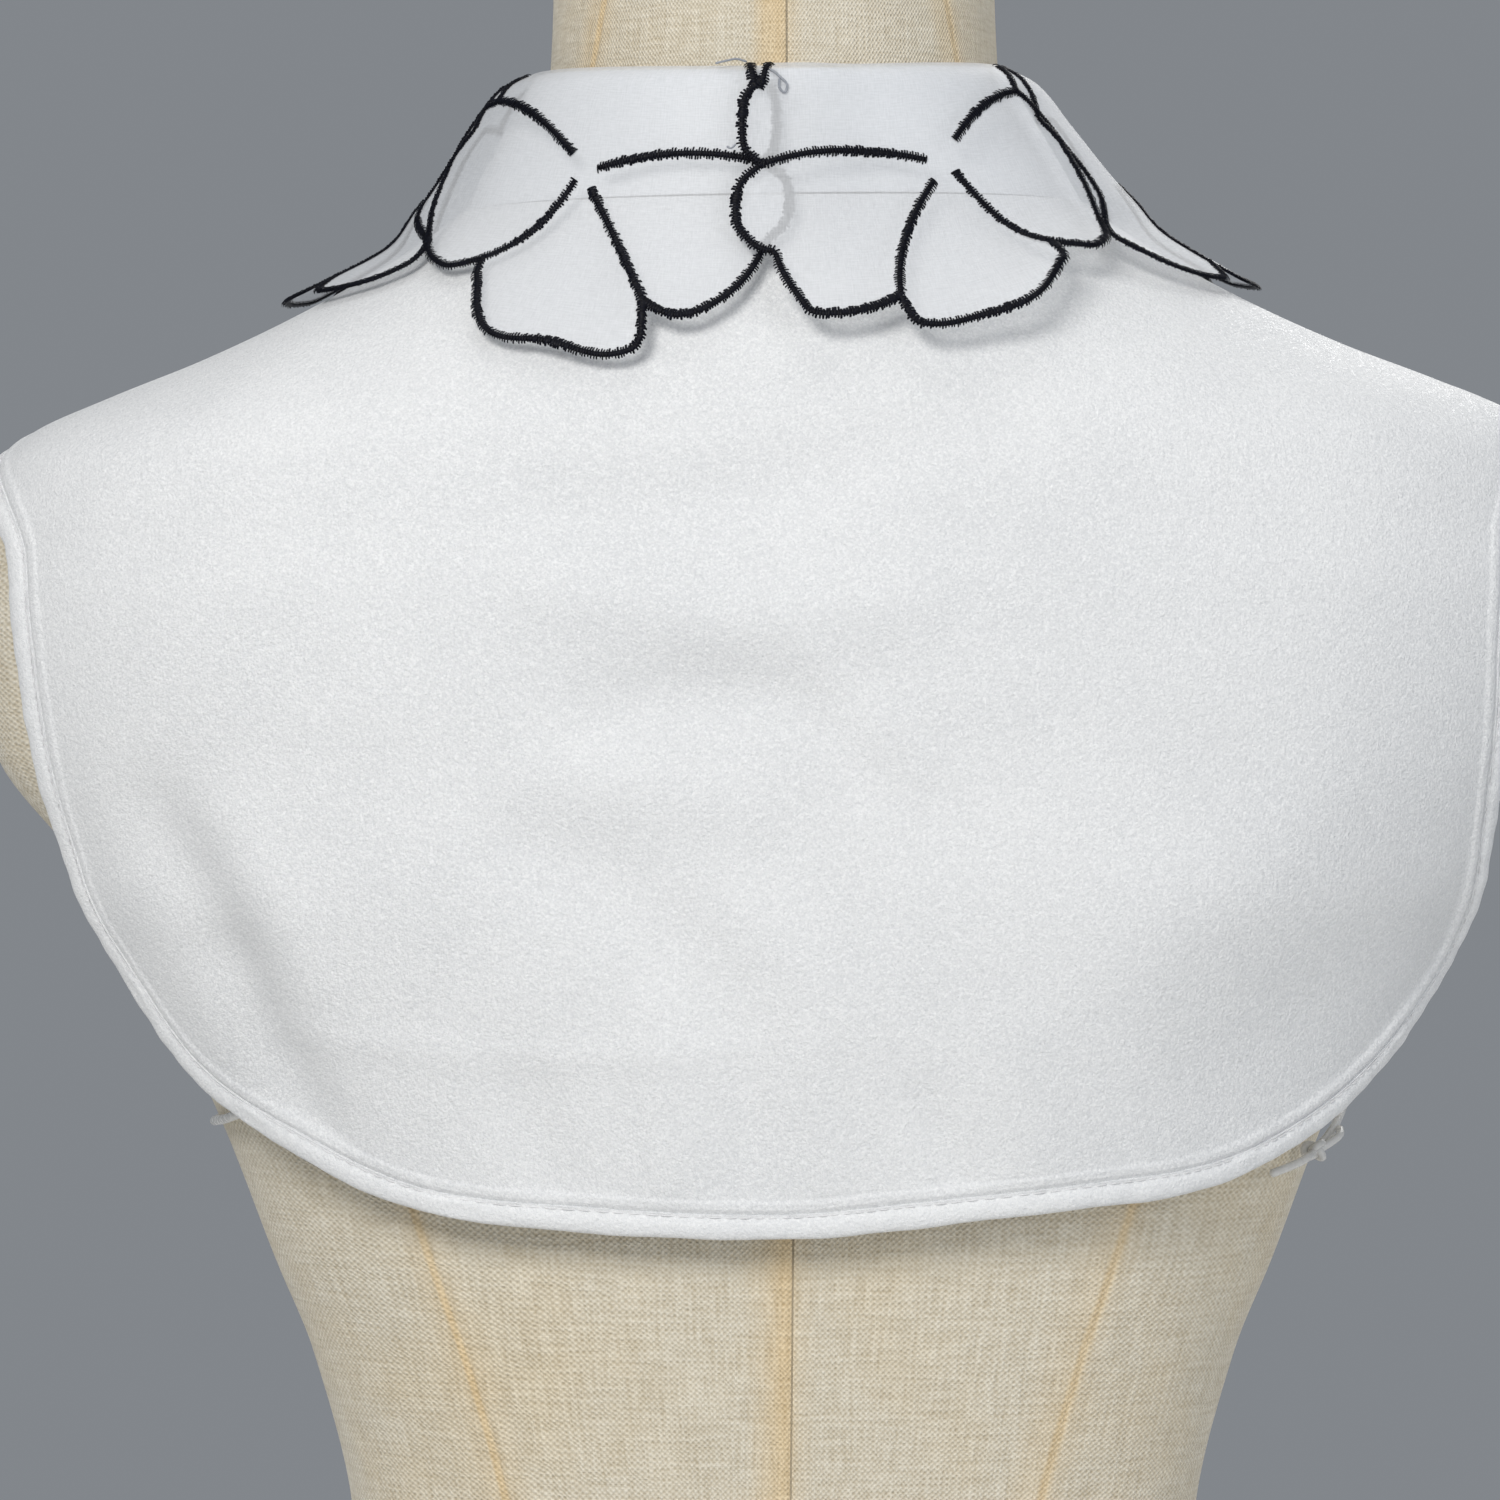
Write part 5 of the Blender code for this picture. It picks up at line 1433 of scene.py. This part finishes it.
def button_mesh(name, middle, turned):
    """A turned four-hole button with a raised rim."""
    sides = BUTTON_SIDES
    points = [(0.0, 0.0, BUTTON_PROFILE[0][1])]
    faces = [(0, 1 + (i + 1) % sides, 1 + i) for i in range(sides)]
    for k, (radius, level) in enumerate(BUTTON_PROFILE[1:]):
        if k:
            faces += band_faces(len(points) - sides, sides)
        points += [(x, y, level) for x, y in circle((0.0, 0.0), radius, sides)]
    well = BUTTON_PROFILE[-1][1]
    holes = [(x, y) for x in (-HOLE_AWAY, HOLE_AWAY) for y in (-HOLE_AWAY, HOLE_AWAY)]
    loops = [[p[:2] for p in points[-sides:]]] + [circle(hole, HOLE_RADIUS, HOLE_SIDES) for hole in holes]
    flat, edges = [], []
    for loop in loops:
        edges += [(len(flat) + i, len(flat) + (i + 1) % len(loop)) for i in range(len(loop))]
        flat += [Vector(p) for p in loop]
    found = delaunay_2d_cdt(flat, edges, [], 0, 1e-5, False)
    first = len(points)
    points += [(*p, well) for p in found[0]]
    for triangle in found[2]:
        centre = sum((found[0][i] for i in triangle), Vector((0, 0))) / 3
        if all((centre - Vector(hole)).length > HOLE_RADIUS - 0.05 for hole in holes):
            faces.append(tuple(first + i for i in triangle))
    for loop in loops[1:]:
        faces += band_faces(len(points), HOLE_SIDES)
        points += [(*p, level) for level in (well, HOLE_FLOOR) for p in loop]
    seated = [tuple(middle + turned @ Vector(p)) for p in points]
    return face_out(mesh_from(name, seated, faces), 0.00001)


def build_buttons(plastic, thread):
    """The buttons, each turned a little its own way and sewn on with a cross of thread."""
    made = []
    for number, drop in enumerate(BUTTON_DROPS, 1):
        seat = Vector(cloth_point(math.pi, drop, PLACKET_OUT + SEAM))
        normal = Vector(cloth_point(math.pi, drop, PLACKET_OUT + SEAM + 1.0)) - seat
        middle = seat + normal * (BUTTON_THICK / 2 + 0.1)
        spin = Matrix.Rotation(CHANCE.uniform(-0.4, 0.4), 3, "Z")
        turned = normal.to_track_quat("Z", "Y").to_matrix() @ spin
        node = f"button_{number}"
        mesh = button_mesh(node, middle, turned)
        made.append(new_object(f"{node}_turned", mesh, plastic, "button", (node,), 40.0))
        parts = []
        for rise in (1, -1):
            for offset in (-0.154, 0.0, 0.154):
                path = []
                for t in np.linspace(0.0, 1.0, 9):
                    across = HOLE_AWAY * (2 * t - 1) + offset
                    level = 0.52 if 0.15 < t < 0.85 else -0.6
                    path.append(middle + turned @ Vector((across, rise * across, level)))
                parts.append(thread_tube(path, 0.14, 5))
        made.append(object_of(f"{node}_thread", parts, thread, "crepe"))
    return made


# Elastics and loose threads


def overhand_knot(middle, size, spin):
    """A small tight knot: a trefoil pulled close."""
    turns = np.linspace(0.0, 2 * math.pi, 60)
    x = np.sin(turns) + 2 * np.sin(2 * turns)
    y = np.cos(turns) - 2 * np.cos(2 * turns)
    z = -1.2 * np.sin(3 * turns)
    points = np.stack((x, y, z), axis=-1) * size / 3.0
    turned = np.array(Matrix.Rotation(spin, 3, "X") @ Matrix.Rotation(spin * 1.7, 3, "Z"))
    return points @ turned.T + np.asarray(middle)


def form_run(rows, flip, count):
    """A run of points over the form, through rows of angle, drop and distance out."""
    angle, drop, out = along(rows, np.linspace(0.0, 1.0, count))
    angle = np.radians(angle) * flip
    return place(angle, form_radius(angle, drop) + out, drop)


def build_elastics(clear):
    for name, flip in SIDES:
        path = form_run(ELASTIC_ROUTE, flip, 60)
        parts = [thread_tube(path, ELASTIC_RADIUS, 14)]
        for end, spin in ((0, 0.7), (-1, 2.1)):
            knot = overhand_knot(path[end] - unit(path[end] * FLAT_AXES) * 2.0, 1.7, spin + flip * 0.4)
            parts.append(thread_tube(knot, 0.75, 8))
        if flip < 0:
            runs = [form_run(rows, flip, 24) for rows in ELASTIC_ENDS]
            parts += [thread_tube(run, 1.0, 10) for run in runs]
            parts.append(thread_tube(overhand_knot(runs[0][-1], 2.6, 0.9), 0.95, 8))
        object_of(f"elastic_{name}_cord", parts, clear, "elastic", (f"elastic_{name}",), 0.0)


def build_loose_threads(leaf, grey):
    parts = []
    for radius, places in LOOSE_THREADS:
        angle, down, out = along(places, np.linspace(0.0, 1.0, 8 * len(places)))
        parts.append(thread_tube(leaf.point(np.radians(angle), down, out, -1), radius, 6))
    return object_of("loose_threads", parts, grey, "stitching")


# Light and camera


def area_light(name, place_at, aim, size, energy, colour):
    data = bpy.data.lights.new(name, "AREA")
    data.shape = "RECTANGLE"
    data.size, data.size_y = size
    data.energy = energy
    data.color = colour
    light = bpy.data.objects.new(name, data)
    light.location = place_at
    light.rotation_euler = (Vector(aim) - Vector(place_at)).to_track_quat("-Z", "Y").to_euler()
    bpy.context.scene.collection.objects.link(light)


def build_stage():
    mesh = bpy.data.meshes.new("floor")
    corners = [(x, y, 0.0) for x, y in circle((0.0, 0.0), FLOOR_RADIUS, FLOOR_SIDES)]
    mesh.from_pydata(corners, [], [list(range(FLOOR_SIDES))])
    floor = bpy.data.objects.new("floor", mesh)
    bpy.context.scene.collection.objects.link(floor)
    mesh.materials.append(Look("pale_floor", (0.72, 0.72, 0.71), 0.8).made)
    world = bpy.data.worlds.new("studio")
    bpy.context.scene.world = world
    world.use_nodes = True
    world.node_tree.nodes["Background"].inputs["Color"].default_value = (*WORLD_COLOUR, 1.0)
    world.node_tree.nodes["Background"].inputs["Strength"].default_value = 1.0
    bpy.context.scene.view_settings.view_transform = "Standard"
    for light in LIGHTS:
        area_light(*light)


def build_camera():
    data = bpy.data.cameras.new("camera")
    data.sensor_width = SENSOR_WIDTH
    data.lens = SENSOR_WIDTH * CAMERA_AWAY / VIEW_WIDTH
    camera = bpy.data.objects.new("camera", data)
    camera.location = (CAMERA_ASIDE * MM, CAMERA_AWAY * MM, CAMERA_HEIGHT * MM)
    camera.rotation_euler = (math.radians(90.0), 0.0, math.radians(180.0))
    bpy.context.scene.collection.objects.link(camera)
    bpy.context.scene.camera = camera


def main():
    crepe = crepe_material("white_crepe", (0.845, 0.852, 0.858), (0.68, 0.692, 0.708))
    # The binding's crepe is the bib's crepe painted lighter: painted light for the brightly lit folded edge.
    strip = crepe_material("binding_crepe", (0.88, 0.887, 0.892), (0.765, 0.778, 0.795))
    organza = organza_material("sheer_organza", (0.86, 0.88, 0.91), 0.52)
    band_organza = organza_material("stand_organza", (0.84, 0.86, 0.885), 0.93)
    satin = satin_material()
    white_thread = thread_material("white_thread", (0.80, 0.80, 0.81))
    grey_thread = thread_material("grey_thread", (0.30, 0.32, 0.36))

    form = build_form(linen_material())
    back = build_panel("bib_back", BACK_EDGE, SHOULDER_SEAM, -SHOULDER_SEAM, 1, 300, 90, crepe)
    ends = FRONT_EDGE[0][0], FRONT_EDGE[-1][0]
    fronts = [
        build_panel(f"bib_front_{name}", FRONT_EDGE, *ends, flip, 150, 80, crepe) for name, flip in SIDES
    ]
    back_binding = build_binding("binding_back", BACK_EDGE, 1, 640, strip)
    front_bindings = [
        build_binding(f"binding_front_{name}", FRONT_EDGE, flip, 300, strip) for name, flip in SIDES
    ]
    topstitching = build_topstitching(white_thread)

    leaf = Leaf()
    band = build_band(band_organza, leaf)
    for name, side in SIDES:
        pattern, cloth = build_leaf(f"collar_{name}", side, leaf, organza)
        arms = []
        for arm in FOLD_ARMS if side < 0 else ():
            angle, down = along(arm, np.linspace(0.0, 1.0, 8))
            arms.append(list(zip(np.radians(angle) * FLAT_RADIUS, down)))
        build_satin(name, leaf, pattern, side, satin, arms)
    loose = build_loose_threads(leaf, grey_thread)

    placket = build_placket(crepe)
    fastenings = [build_placket_stitching(white_thread), *build_buttons(button_material(), white_thread)]
    build_elastics(elastic_material())

    build_stage()
    build_camera()


main()
